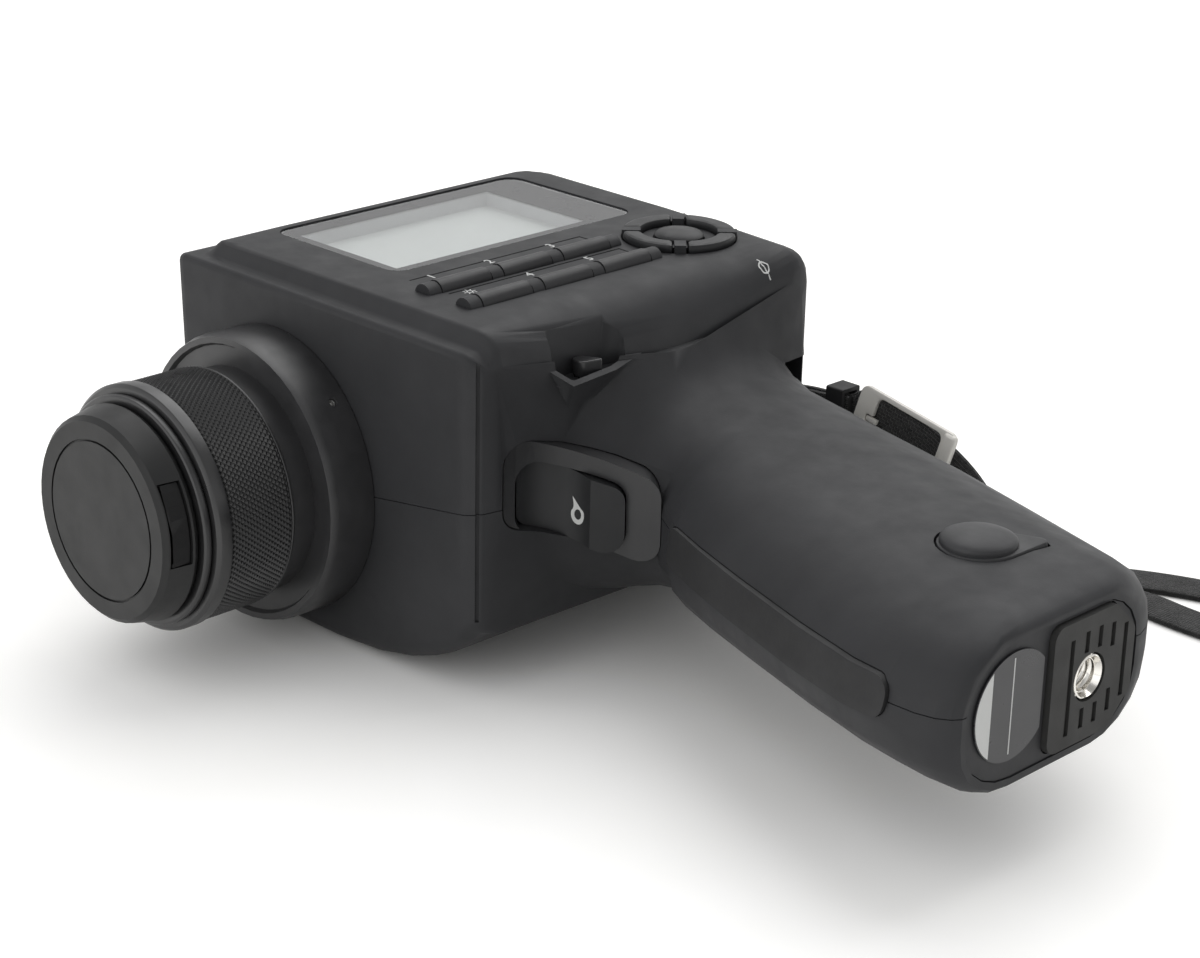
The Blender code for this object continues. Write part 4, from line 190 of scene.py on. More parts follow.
line = filled(route, 4)
side_line = filled(across, 4)
width_line = filled(widths, 4)
half_section = [(-1, 0.35), (-0.96, 0.8), (-0.8, 1), (-0.4, 1), (0, 1), (0.4, 1), (0.8, 1), (0.96, 0.8),
                (1, 0.35)]
section = half_section + [(u, -v) for u, v in reversed(half_section)]
form = bmesh.new()
layer = form.loops.layers.uv.new("weave")
rings, travelled = [], [0.0]
for i, place in enumerate(line):
    ahead = (line[min(i + 1, len(line) - 1)] - line[max(i - 1, 0)]).normalized()
    wide = (side_line[i] - ahead * side_line[i].dot(ahead)).normalized()
    out = ahead.cross(wide)
    half = strap_width / 2 * width_line[i]
    rings.append([form.verts.new(place + wide * half * u + out * strap_thick / 2 * v) for u, v in section])
    if i:
        travelled.append(travelled[-1] + (place - line[i - 1]).length)
for i in range(len(rings) - 1):
    for k in range(len(section)):
        n = (k + 1) % len(section)
        face = form.faces.new((rings[i][k], rings[i][n], rings[i + 1][n], rings[i + 1][k]))
        face.smooth = True
        for loop, (ring, point) in zip(face.loops, ((i, k), (i, n), (i + 1, n), (i + 1, k))):
            loop[layer].uv = (travelled[ring] / MM, section[point][0] * strap_width / 2 / MM)
form.faces.new(rings[0])
form.faces.new(rings[-1])
bmesh.ops.recalc_face_normals(form, faces=form.faces)
webbing_mesh = bpy.data.meshes.new("strap_webbing")
form.to_mesh(webbing_mesh)
webbing = placed("strap_webbing", webbing_mesh)
print("webbing length", round(travelled[-1], 3), "m")

# %% [markdown]
# The same few moves come back in every piece: work on it alone in edit mode, apply a modifier, and
# shade it. They are written once, as helpers. Everything is deselected first, because an operator
# acts on all that is selected.

# %% Workshop helpers
def alone(piece):
    bpy.ops.object.select_all(action="DESELECT")
    piece.select_set(True)
    bpy.context.view_layer.objects.active = piece


def apply(piece, kind, **values):
    """Adds a modifier, sets it, and applies it."""
    alone(piece)
    modifier = piece.modifiers.new(kind.lower(), kind)
    for key, value in values.items():
        setattr(modifier, key, value)
    bpy.ops.object.modifier_apply(modifier=modifier.name)


def shaded(piece, angle=35):
    alone(piece)
    bpy.ops.object.shade_smooth_by_angle(angle=math.radians(angle), keep_sharp_edges=False)
    return piece


def whole():
    """Selects all that is in edit mode."""
    bpy.ops.mesh.select_all(action="SELECT")


def opened(piece, kind="VERT"):
    """Enters edit mode with the whole piece selected."""
    alone(piece)
    bpy.ops.object.mode_set(mode="EDIT")
    bpy.ops.mesh.select_mode(type=kind)
    whole()


def done():
    bpy.ops.object.mode_set(mode="OBJECT")


print("mode:", bpy.context.mode)

# %% [markdown]
# A finish is a material that a whole piece wears. A real moulding is never one flat colour: its
# grain scatters light, handling polishes some places, and its tone drifts a little. An image could
# carry that, but noise that is worked out at each place needs no image and has no seams. So each
# finish takes a colour, a roughness and a grain, and the helper joins three noises: a wide one for
# the tone, a middle one for the gloss and a fine one for the grain's relief.

# %% A finish maker
def new_material(name):
    material = bpy.data.materials.new(name)
    material.use_nodes = True
    tree = material.node_tree
    return material, tree, tree.nodes["Principled BSDF"]


def fed(node, values):
    """Sets a node's inputs: a number or colour is typed in, and another node's output is joined."""
    for key, value in values.items():
        if isinstance(value, bpy.types.NodeSocket):
            node.id_data.links.new(value, node.inputs[key])
        else:
            node.inputs[key].default_value = value
    return node


def made(tree, kind, values=None, **settings):
    """Adds a shader node with its settings and inputs, and gives its outputs."""
    node = tree.nodes.new("ShaderNode" + kind)
    for key, value in settings.items():
        setattr(node, key, value)
    return fed(node, values or {}).outputs


def noise(tree, scale, detail=3.0, rough=0.55, vector=None):
    if vector is None:
        vector = made(tree, "TexCoord")["Object"]
    return made(tree, "TexNoise", {"Scale": scale, "Detail": detail, "Roughness": rough,
                                   "Vector": vector})["Fac"]


def ranged(tree, value, low, high, start=0.3, end=0.7):
    """Maps a noise to a range of numbers."""
    return made(tree, "MapRange", {"From Min": start, "From Max": end, "To Min": low, "To Max": high,
                                   "Value": value})["Result"]


def toned(tree, fac, dark, light):
    """A colour between two, as a noise says."""
    return made(tree, "Mix", {"A": (*dark, 1), "B": (*light, 1), "Factor": fac}, data_type="RGBA")["Result"]


def raised(tree, height, strength, depth):
    """Relief of a depth in millimetres, without new surface."""
    return made(tree, "Bump", {"Strength": strength, "Distance": depth * MM, "Height": height})["Normal"]


def combined(tree, operation, first, second):
    return made(tree, "Math", {0: first, 1: second}, operation=operation)[0]


def finish(name, colour, rough, grain, relief, strength, drift=0.12, metal=0.0, gloss_level=0.5):
    """A finish with a drifting tone, uneven gloss and a grain of that size in millimetres."""
    material, tree, principled = new_material(name)
    tone = ranged(tree, noise(tree, 45), 0, 1)
    dark = [c * (1 - drift) for c in colour]
    light = [c * (1 + drift) for c in colour]
    fed(principled, {
        "Base Color": toned(tree, tone, dark, light),
        "Roughness": ranged(tree, noise(tree, 160, 4), rough - 0.06, rough + 0.06),
        "Metallic": metal, "Specular IOR Level": gloss_level,
        "Normal": raised(tree, noise(tree, 1000 / grain, 2, 0.6), strength, relief)})
    return material


def wear(piece, material, body="housing"):
    """Puts a finish on a piece, and lets it ride on its body."""
    piece.data.materials.clear()
    piece.data.materials.append(material)
    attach(piece, body)
    return piece


print("materials of the solids:", len(bpy.data.materials))

# %% [markdown]
# The two half shells, the battery cover and the base plate are moulded in one charcoal plastic
# with a fine eroded grain. Under a white sky it looks dark grey, a little cool, and lighter where
# the surface lies flat under the light. The grain could be modelled, but at a third of a
# millimetre it only has to break up the reflections, so it is relief in the material.

# %% Plastics
shell_finish = finish("charcoal_grained_plastic", (0.036, 0.0365, 0.039), 0.55, 0.42, 0.03, 0.45,
                      gloss_level=0.26)
satin_black = finish("satin_black_plastic", (0.016, 0.016, 0.017), 0.42, 0.7, 0.012, 0.3)
tab_finish = finish("tab_plastic", (0.013, 0.013, 0.0135), 0.6, 0.7, 0.012, 0.3, gloss_level=0.25)
cap_finish = finish("cap_plastic", (0.013, 0.0132, 0.0135), 0.46, 0.5, 0.02, 0.4, gloss_level=0.4)
bezel_finish = finish("bezel_plastic", (0.024, 0.0242, 0.0258), 0.36, 0.6, 0.012, 0.3)
button_finish = finish("button_plastic", (0.024, 0.0245, 0.026), 0.45, 0.6, 0.012, 0.3, gloss_level=0.32)
key_finish = finish("key_plastic", (0.028, 0.028, 0.03), 0.45, 0.5, 0.015, 0.35, gloss_level=0.35)
print("with plastics:", len(bpy.data.materials))

# %% [markdown]
# The lens parts are turned from metal and dyed black. Turning leaves very fine rings, which
# stretch a highlight across them. The rings run round the lens axis, so the noise reads the
# distance from that axis and the place along it, and nothing that turns round it.

# %% Turned black metal
def turned_black(name, colour, rough, ring_relief=0.006):
    material, tree, principled = new_material(name)
    place = made(tree, "TexCoord")["Object"]
    centred = made(tree, "VectorMath", {0: place, 1: spot(0, 0, 0)}, operation="SUBTRACT")["Vector"]
    apart = made(tree, "SeparateXYZ", {"Vector": centred})
    flat_pair = made(tree, "CombineXYZ", {"X": apart["X"], "Y": apart["Z"]})["Vector"]
    distance = made(tree, "VectorMath", {0: flat_pair}, operation="LENGTH")["Value"]
    ringed = made(tree, "CombineXYZ", {"X": distance, "Y": apart["Y"]})["Vector"]
    tone = ranged(tree, noise(tree, 60), 0, 1)
    fed(principled, {
        "Base Color": toned(tree, tone, [c * 0.85 for c in colour], [c * 1.15 for c in colour]),
        "Roughness": ranged(tree, noise(tree, 240, 3), rough - 0.05, rough + 0.07),
        "Specular IOR Level": 0.7,
        "Normal": raised(tree, noise(tree, 2600, 2, 0.5, ringed), 0.3, ring_relief)})
    return material


black_metal = turned_black("turned_black_metal", (0.02, 0.02, 0.021), 0.32)
mount_metal = turned_black("mount_metal", (0.034, 0.034, 0.036), 0.4)
knurl_metal = turned_black("knurled_black_metal", (0.018, 0.018, 0.019), 0.3, 0.003)
print("nodes in a turned metal:", len(black_metal.node_tree.nodes))

# %% [markdown]
# The rubber pieces are matt, with a coarser, softer relief than the plastic, and dust that makes
# them paler in patches. The bright pieces are plated steel: a smooth mirror with a faint waviness
# and fine hairlines. The buckle's steel is the exception: a nearly white colour that is barely
# metallic, a painted reflection of the bright table and sky that its plating would mirror.

# %% Rubber and bright metal
strip_rubber = finish("strip_rubber", (0.018, 0.018, 0.019), 0.68, 0.9, 0.07, 0.6, 0.25)
foot_rubber = finish("foot_rubber", (0.03, 0.03, 0.029), 0.7, 0.7, 0.04, 0.5, 0.2)
plated_steel = finish("plated_steel", (0.78, 0.76, 0.72), 0.16, 1.6, 0.02, 0.25, 0.06, 1.0)
# Painted reflection: the buckle's steel is nearly white and barely metallic, so it looks bright under any
# light.
pale_steel_painted_reflection = finish("pale_steel_painted_reflection", (0.86, 0.84, 0.79), 0.4, 1.6, 0.02, 0.25, 0.06, 0.1, 0.8)
plain_steel = finish("plain_steel", (0.5, 0.5, 0.49), 0.32, 0.4, 0.01, 0.3, 0.1, 1.0)
sprung_brass = finish("sprung_brass", (0.72, 0.5, 0.22), 0.28, 0.4, 0.01, 0.3, 0.1, 1.0)
silvered = finish("silvered_face", (0.85, 0.86, 0.86), 0.05, 2.0, 0.001, 0.1, 0.03, 1.0)
board_green = finish("board_green", (0.016, 0.12, 0.05), 0.3, 2.2, 0.05, 0.5, 0.4)
cell_sleeve = finish("cell_sleeve", (0.07, 0.14, 0.32), 0.25, 3.0, 0.01, 0.2, 0.08)
print("with rubber and metal:", len(bpy.data.materials))

# %% [markdown]
# Woven nylon shows short raised floats in rows, each row shifted by half a float, with tighter
# rounded edges. A brick pattern has just that layout, and the webbing's own map gives it
# millimetres. The bricks' joints are sunk a little, and fibres are a fine noise on top.

# %% Woven webbing
def woven(name, colour):
    material, tree, principled = new_material(name)
    weave_map = made(tree, "UVMap", uv_map="weave")["UV"]
    floats = made(tree, "TexBrick", {
        "Scale": 1, "Mortar Size": 0.16, "Mortar Smooth": 0.9, "Brick Width": 1.5, "Row Height": 0.75,
        "Color1": (*[c * 0.8 for c in colour], 1), "Color2": (*[c * 1.5 for c in colour], 1),
        "Mortar": (*[c * 0.3 for c in colour], 1), "Vector": weave_map}, offset=0.5)
    fibres = noise(tree, 2.6, 2, 0.6, weave_map)
    height = combined(tree, "SUBTRACT", fibres, floats["Fac"])
    fed(principled, {
        "Base Color": floats["Color"], "Roughness": ranged(tree, noise(tree, 300), 0.7, 0.95),
        "Sheen Weight": 0.25, "Sheen Roughness": 0.4, "Normal": raised(tree, height, 0.9, 0.35)})
    return material


webbing_finish = woven("woven_black_nylon", (0.031, 0.031, 0.031))
wear(webbing, webbing_finish)
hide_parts("wrist_strap")
print("webbing wears", webbing.active_material.name)

# %% [markdown]
# Seen from above, the housing's far corner is a wide arc, and its rear and far walls lean out a
# little towards the display side. The solid has a tighter corner there, so the two shells are cut
# into narrow bands near it, and the outermost places are drawn in to the arc. The lean starts
# 16 mm above the lens axis, close to the rear and far walls, and ends before the grip.

# %% The far corner
corner_radius, far_wall, rear_wall, bands = 14.0, -32, 98, 7
rear_lean, far_lean, lean_above = 2.8, 1.8, 16
middle_x, middle_y = far_wall + corner_radius, rear_wall - corner_radius


def place_of(point):
    """The other way: the millimetres of a point in the shared frame."""
    return point[0] / MM + origin_x, point[1] / MM + origin_y, point[2] / MM + origin_z


def rising(value, start, length):
    """A share that grows from 0 at a start to 1 after a length."""
    return min(1, max(0, (value - start) / length))


def far_corner_rounded(piece):
    opened(piece)
    for i in range(bands):
        step = corner_radius * math.sin(math.radians(10 + 12.5 * i))
        for place, way in (((middle_x - step, 0, 0), (1, 0, 0)), ((0, middle_y + step, 0), (0, 1, 0))):
            whole()
            bpy.ops.mesh.bisect(plane_co=spot(*place), plane_no=way)
    done()
    for vert in piece.data.vertices:
        x, y, z = place_of(vert.co)
        dx, dy = x - middle_x, y - middle_y
        if dx < 0 < dy:
            away = math.hypot(dx, dy)
            square = away * corner_radius / max(-dx, dy)
            share = rising(away / square, 0.6, 0.3)
            share = share * share * (3 - 2 * share)
            shrink = 1 + share * (corner_radius / square - 1)
            x, y = middle_x + dx * shrink, middle_y + dy * shrink
        upward = rising(z, lean_above, 24)
        lean = rising(y, 91, 3.5) * upward * rising(-x, -54, 30)
        vert.co = spot(x - far_lean * rising(-x, 26, 4) * upward, y + rear_lean * lean, z)


print("corner radius", corner_radius, "mm")

# %% [markdown]
# Most solids already have the right shape. Packed solids are loose triangles, though, so they
# shade in facets. A copy of each visible solid has its doubles merged and is shaded smooth up to
# a set angle, with flat faces weighing more than thin ones, and the copy then stands for the
# solid. The shells have their far corner reshaped, and pieces that meet at a seam grow by a hair,
# so that the seam closes, but not into the table.

# %% Skins for the moulded and turned pieces
reshaped = ("left_shell", "right_shell")
close_fitting = reshaped + ("base_plate", "trigger_bezel", "finger_strip")
seam_growth, smooth_up_to = 0.09 * MM, {"left_shell": 62}


def flats_kept_flat(piece, angle):
    shaded(piece, angle)
    apply(piece, "WEIGHTED_NORMAL", keep_sharp=True, weight=80, mode="FACE_AREA")


def skin(node, material):
    """A smoothly shaded copy of a solid, which stands for it."""
    piece = placed(node + "_skin", nodes[node].data.copy())
    piece.data.name = piece.name
    alone(piece)
    bpy.ops.mesh.customdata_custom_splitnormals_clear()
    opened(piece)
    bpy.ops.mesh.remove_doubles(threshold=SAME_PLACE)
    done()
    if node in reshaped:
        far_corner_rounded(piece)
    if node in close_fitting:
        apply(piece, "DISPLACE", strength=seam_growth, mid_level=0)
        for vert in piece.data.vertices:
            vert.co.z = max(vert.co.z, 0)
    flats_kept_flat(piece, smooth_up_to.get(node, 32))
    wear(piece, material, body_of[node])
    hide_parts(node)


skinned = {
    "left_shell": shell_finish, "right_shell": shell_finish, "battery_cover": shell_finish,
    "base_plate": shell_finish, "lens_mount": mount_metal, "lens_barrel": black_metal,
    "lens_retainer": black_metal, "eyepiece_tube": black_metal, "lens_cap": cap_finish,
    "cap_tab_below": tab_finish, "cap_tab_above": tab_finish, "trigger_bezel": bezel_finish,
    "measuring_button": button_finish, "selector_knob": bezel_finish, "middle_button": button_finish,
    **{f"key_{side}": button_finish for side in ("above", "below", "front", "rear")},
    "finger_strip": strip_rubber, "rubber_foot": foot_rubber, "eye_cup": foot_rubber,
    "strap_keeper": strip_rubber, "strap_bar": plain_steel,
    **{f"key_{i}": key_finish for i in range(1, 7)},
}
for node, material in skinned.items():
    skin(node, material)
plain = {
    "optical_bench": black_metal, "aperture_mirror": silvered, "sensor_block": satin_black,
    "main_board": board_green, "key_mat": foot_rubber, "trigger_switch": satin_black,
    "jack_socket": satin_black, "battery_tray": satin_black, "battery_1": cell_sleeve,
    "battery_2": cell_sleeve, "contact_upper": sprung_brass, "contact_lower": sprung_brass,
    **{f"shell_screw_{i}": plain_steel for i in range(1, 5)},
}
for node, material in plain.items():
    nodes[node].data.materials.clear()
    nodes[node].data.materials.append(material)
print("skins:", len(skinned), "refinished:", len(plain))

# %% [markdown]
# Pieces that turn about the lens axis are made as on a lathe: a circle is stood in place, and its
# ring is extruded, moved along the axis and scaled about it, once for each corner of the
# section. Spinning a drawn section would do the same, but here each step is a radius and a place
# along the axis, as on the drawing.

# %% Turning pieces
def settled(name):
    """Names the new primitive and puts its place into its mesh."""
    piece = bpy.context.object
    piece.name = piece.data.name = name
    alone(piece)
    bpy.ops.object.transform_apply(location=True, rotation=True, scale=True)
    return piece


def drawn_out(rings, axis, x=0, y=0, z=0):
    """Extrudes the selected ring along an axis, once for each pair of radius and place on it."""
    for (r0, s0), (r1, s1) in zip(rings, rings[1:]):
        step, size, centre = [0, 0, 0], [r1 / r0] * 3, [x, y, z]
        step[axis], size[axis], centre[axis] = (s1 - s0) * MM, 1, s1
        bpy.ops.mesh.extrude_region_move(TRANSFORM_OT_translate={"value": step})
        bpy.ops.transform.resize(value=size, center_override=spot(*centre))


def sides_outward():
    whole()
    bpy.ops.mesh.normals_make_consistent(inside=False)


def turned(name, section, steps=128):
    """A closed ring about the lens axis: section is a list of (radius, place along the axis)."""
    bpy.ops.mesh.primitive_circle_add(vertices=steps, radius=section[0][0] * MM,
                                      rotation=(math.pi / 2, 0, 0), location=spot(0, section[0][1], 0))
    piece = settled(name)
    opened(piece)
    drawn_out(section + section[:1], 1)
    whole()
    bpy.ops.mesh.remove_doubles(threshold=SAME_PLACE)
    sides_outward()
    done()
    return piece


# %% [markdown]
# The focus ring has a smooth front lip with a small bevel, a thin groove, and a sunk band that
# carries the knurl. Its section is turned first.

# %% Focus ring
def eased(piece, width, segments=3, angle=35):
    """Rounds the edges, as a mould or a file would."""
    apply(piece, "BEVEL", width=width * MM, segments=segments, limit_method="ANGLE",
          angle_limit=math.radians(angle))


focus_body = turned("focus_ring_body", [
    (21.8, -16.2), (25.0, -16.2), (25.4, -16.5), (25.4, -17.0), (24.9, -17.15), (24.9, -32.2),
    (25.7, -32.35), (25.9, -32.6), (25.9, -35.3), (25.2, -36.0), (21.8, -36.0)])
eased(focus_body, 0.12, 2, 25)
shaded(focus_body, 40)
wear(focus_body, black_metal, "focus_ring")
print("focus ring faces", len(focus_body.data.polygons))

# %% [markdown]
# The barrel ends in a bright-edged lip between the focus ring and the cap, and the cap's finger
# tabs are dished, so that a fingertip finds them. Their front faces are inset by a hair and
# pushed in.

# %% Barrel lip and dished tabs
def chosen(piece, test, kind="FACE"):
    """Enters edit mode with only the faces, or the edges, that pass the test."""
    opened(piece, kind)
    bpy.ops.mesh.select_all(action="DESELECT")
    mesh = bmesh.from_edit_mesh(piece.data)
    for part in mesh.faces if kind == "FACE" else mesh.edges:
        if test(part):
            part.select_set(True)
    mesh.select_flush_mode()
    bmesh.update_edit_mesh(piece.data)


lip = turned("lens_barrel_lip", [
    (21.5, -38.0), (23.7, -38.0), (24.1, -37.7), (24.1, -36.5), (23.9, -36.2), (21.5, -36.2)])
smallest_front = 4 * MM**2
eased(lip, 0.1, 2, 25)
shaded(lip, 40)
wear(lip, black_metal, "lens_barrel")
for node in ("cap_tab_below", "cap_tab_above"):
    tab = bpy.data.objects[node + "_skin"]
    chosen(tab, lambda f: f.normal.y < -0.9 and f.calc_area() > smallest_front)
    bpy.ops.mesh.inset(thickness=0.35 * MM)
    bpy.ops.transform.translate(value=(0, 0.9 * MM, 0))
    done()
    shaded(tab, 25)
print("lip and tabs")

# %% [markdown]
# The knurl is a diamond pattern of small pyramids, pressed into the metal by a crossed pair of
# toothed rollers. It could be relief in the material, but it shows on the outline of the ring, so
# it is real. A tube is cut into rows, each face is poked to its middle, and the first edges are
# dissolved: what is left between the middles is a lattice of diamonds. Each diamond is then poked
# outwards into a pyramid.

# %% Diamond knurl
around, rows, pyramid_height = 132, 10, 0.42
knurl_low, knurl_high, knurl_radius = -32.15, -17.2, 25.14
bpy.ops.mesh.primitive_cylinder_add(
    vertices=around, radius=knurl_radius * MM, depth=(knurl_high - knurl_low) * MM, end_fill_type="NOTHING",
    rotation=(math.pi / 2, 0, 0), location=spot(0, (knurl_low + knurl_high) / 2, 0))
knurl = settled("focus_ring_knurl")


def span(edge):
    """How far an edge runs along each axis, in millimetres."""
    return [abs(v) / MM for v in edge.verts[0].co - edge.verts[1].co]


def runs_along(edge):
    return math.hypot(span(edge)[0], span(edge)[2]) < 0.01


chosen(knurl, runs_along, "EDGE")
bpy.ops.mesh.subdivide(number_cuts=rows - 1)
whole()
bpy.ops.mesh.poke()
done()
chosen(knurl, lambda e: len(e.link_faces) == 2 and (runs_along(e) or span(e)[1] < 0.01), "EDGE")
bpy.ops.mesh.dissolve_edges(use_verts=False)
bpy.ops.mesh.select_mode(type="FACE")
sides_outward()
done()
opened(knurl, "FACE")
bpy.ops.mesh.poke(offset=pyramid_height * MM, use_relative_offset=False)
done()
print("knurl faces", len(knurl.data.polygons))

# %% [markdown]
# The tube's two open ends are drawn in towards the axis and bridged, so the knurl is a closed
# ring that sits in the sunk band. Its faces stay flat, because a pressed pyramid has flat sides.

# %% Close the knurl
chosen(knurl, lambda e: len(e.link_faces) == 1, "EDGE")
bpy.ops.mesh.extrude_region_move()
bpy.ops.transform.resize(value=(0.98, 1, 0.98), center_override=spot(0, (knurl_low + knurl_high) / 2, 0))
bpy.ops.mesh.bridge_edge_loops()
sides_outward()
done()
wear(knurl, knurl_metal, "focus_ring")
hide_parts("focus_ring")
print("knurl faces", len(knurl.data.polygons))

# %% [markdown]
# The diopter ring at the eyepiece has broad axial ribs for a fingertip. Every second pair of side
# faces is pressed in, which leaves the ribs standing at the ring's own radius.

# %% Diopter ring
diopter_low, diopter_high = (place_of(corner)[1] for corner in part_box("diopter_ring"))
rib_angle, ring_radius = math.pi / 24, 14.0
diopter = turned("diopter_ring_ribbed", [
    (11.4, diopter_low), (13.4, diopter_low), (ring_radius, diopter_low + 0.6),
    (ring_radius, diopter_high - 0.6), (13.4, diopter_high), (11.4, diopter_high)], 96)


def between_ribs(face):
    away = face.calc_center_median() - spot(0, 0, 0)
    on_side = math.hypot(away.x, away.z) > (ring_radius - 0.1) * MM and abs(face.normal.y) < 0.1
    return on_side and int((math.atan2(away.z, away.x) + math.pi) / rib_angle) % 2 == 0


chosen(diopter, between_ribs)
bpy.ops.mesh.inset(thickness=0.12 * MM, use_outset=False)
bpy.ops.mesh.extrude_region_shrink_fatten(TRANSFORM_OT_shrink_fatten={"value": -0.4 * MM})
done()
shaded(diopter, 30)
wear(diopter, strip_rubber, "diopter_ring")
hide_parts("diopter_ring")
print("diopter ring at", round(diopter_low, 1), "to", round(diopter_high, 1))

# %% [markdown]
# The display is a stack. A clear acrylic window lies flush in the housing, its underside printed
# black with one clear rectangle, and the pale liquid crystal panel lies about three millimetres
# deeper in a light frame. That depth is why the panel seems shifted under the window's border
# when it is seen from the side. So the stack is built as it is: a frame with a well, a panel at
# its bottom, the printed border, and the window above.

# %% Display frame and panel
def in_mm(metres):
    return [round(v / MM, 1) for v in metres]


def block(name, low, high):
    """A box between two corners in metres."""
    bpy.ops.mesh.primitive_cube_add(size=1, location=(low + high) / 2, scale=high - low)
    return settled(name)


module_low, module_high = (Vector(corner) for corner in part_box("display_module"))
frame_grey = finish("display_frame_grey", (0.37, 0.385, 0.39), 0.55, 0.5, 0.01, 0.3, 0.04)
well = block("display_frame", module_low, module_high)
chosen(well, lambda f: f.normal.z > 0.9)
bpy.ops.mesh.inset(thickness=2.6 * MM)
bpy.ops.mesh.extrude_region_move(TRANSFORM_OT_translate={"value": (0, 0, -2.3 * MM)})
done()
eased(well, 0.2, 2)
wear(well, frame_grey)
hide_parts("display_module")
print("display frame", in_mm(module_high - module_low))

# %% [markdown]
# The panel is a reflective dot matrix: a pale green-grey, barely broken by its grid of half
# millimetre dots. The grid is a brick pattern without a shift.

# %% Liquid crystal finish
lcd, lcd_tree, lcd_shader = new_material("pale_liquid_crystal")
dot_pitch, dot_gap = 0.5 * MM, 0.04 * MM
dots = made(lcd_tree, "TexBrick", {
    "Scale": 1, "Mortar Size": dot_gap, "Mortar Smooth": 0.3, "Brick Width": dot_pitch,
    "Row Height": dot_pitch, "Color1": (0.44, 0.47, 0.45, 1), "Color2": (0.455, 0.485, 0.465, 1),
    "Mortar": (0.41, 0.44, 0.42, 1), "Vector": made(lcd_tree, "TexCoord")["Object"]}, offset=0)
fed(lcd_shader, {
    "Base Color": dots["Color"], "Roughness": ranged(lcd_tree, noise(lcd_tree, 120), 0.32, 0.42),
    "Normal": raised(lcd_tree, dots["Fac"], 0.1, 0.01)})
panel_inset = Vector((2.7, 2.7, 0)) * MM
panel_low, panel_high = module_low + panel_inset, module_high - panel_inset
panel_low.z, panel_high.z = module_high.z - 2.29 * MM, module_high.z - 2.05 * MM
panel = block("display_panel", panel_low, panel_high)
eased(panel, 0.05, 2)
wear(panel, lcd)
print("panel", in_mm(panel_high - panel_low))

# %% [markdown]
# The printed border is a thin sheet in the window's underside with a rectangle cut out, and a pale
# guide runs from its edge down to the panel. The window itself is clear. A lamp's light should
# pass straight through it to the panel, which a bending glass would leave to chance paths, so for
# shadow rays alone the glass counts as transparent.

# %% Window and its printed border
def slab(name, low, high):
    """A box between two places in millimetres."""
    return block(name, spot(*low), spot(*high))


def cut_by(piece, tool):
    apply(piece, "BOOLEAN", operation="DIFFERENCE", solver="EXACT", object=tool)
    bpy.data.objects.remove(tool)


def corners_rounded(piece, radius, axis=1, segments=5):
    """Rounds the corners that a plate has when it is seen along an axis (1 is Y, 2 is Z)."""
    chosen(piece, lambda e: span(e)[axis] > 0.01, "EDGE")
    bpy.ops.mesh.bevel(offset=radius * MM, segments=segments)
    done()
    return piece


def clear(name, colour, ior, haze):
    """A clear material, with a slight haze that drifts between two values."""
    material, tree, principled = new_material(name)
    return material, tree, fed(principled, {
        "Base Color": colour, "Transmission Weight": 1, "IOR": ior,
        "Roughness": ranged(tree, noise(tree, 200), *haze)}).outputs["BSDF"]


guide = slab("display_light_guide", (-20.3, 21.4, 37.6), (13.1, 77.8, 40.6))
cut_by(guide, slab("guide_cut", (-19.6, 22.1, 37), (12.4, 77.1, 42)))
wear(guide, frame_grey)
border = corners_rounded(slab("display_border", (-24.0, 19.4, 40.94), (15.4, 88.9, 41.1)), 3.3, 2, 6)
cut_by(border, slab("screen_cut", (-19.5, 22.2, 40), (12.3, 77.0, 42)))
border_black = finish("printed_border_black", (0.012, 0.0125, 0.0145), 0.3, 1.0, 0.002, 0.2)
wear(border, border_black)
glass, glass_tree, bending = clear("clear_acrylic", (0.97, 0.98, 0.985, 1), 1.49, (0.015, 0.05))
either = made(glass_tree, "MixShader", {
    "Fac": made(glass_tree, "LightPath")["Is Shadow Ray"], 1: bending,
    2: made(glass_tree, "BsdfTransparent")["BSDF"]})
fed(glass_tree.nodes["Material Output"], {"Surface": either["Shader"]})
skin("display_window", glass)
lens_glass = clear("coated_lens_glass", (0.9, 0.95, 1, 1), 1.52, (0, 0.02))[0]
for node in ("front_lens", "eyepiece_lens"):
    skin(node, lens_glass)
print("window and two lenses")

# %% [markdown]
# The buckle is stamped from sheet steel and plated: a frame with a wide bar at the strap's fold,
# a narrow rolled bar at the other end, two thin rails, and a small prong. It is modelled flat at
# the world's origin, where its edges are easy to choose, then turned and moved.

# %% Buckle
def put(piece, place, turned_by):
    """Turns a piece, moves it, and puts both into its mesh."""
    alone(piece)
    piece.rotation_euler, piece.location = turned_by, place
    bpy.ops.object.transform_apply(location=True, rotation=True, scale=True)


def welded(piece, *others):
    """Makes one piece of several."""
    alone(piece)
    for other in others:
        other.select_set(True)
    bpy.ops.object.join()


def flat_box(name, low, high):
    """A box in the buckle's own flat frame, in millimetres."""
    return block(name, Vector(low) * MM, Vector(high) * MM)


buckle = corners_rounded(flat_box("strap_buckle_frame", (-13.2, -0.6, -6.7), (13.2, 0.6, 6.7)), 1.8)
cut_by(buckle, corners_rounded(flat_box("buckle_window", (-8.4, -3, -5.5), (9.6, 3, 5.5)), 1.6))
cut_by(buckle, corners_rounded(flat_box("prong_notch", (-10.2, -3, -0.9), (-8.0, 3, 0.9)), 0.3, 1, 2))
roll = flat_box("buckle_roll", (10.0, -1.15, -6.4), (13.3, 0.75, 6.4))
eased(roll, 0.8, 4)
prong = flat_box("buckle_prong", (-10.0, -0.45, -0.6), (-7.0, 0.45, 0.6))
eased(prong, 0.25, 2)
eased(buckle, 0.3, 3)
welded(buckle, roll, prong)
put(buckle, spot(87.6, 98.9, 6.4), (math.radians(-10), math.radians(11.4), 0))
shaded(buckle, 40)
# The buckle's pale colour is a painted reflection of the bright surroundings.
wear(buckle, pale_steel_painted_reflection)
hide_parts("strap_buckle")
print("buckle faces", len(buckle.data.polygons))
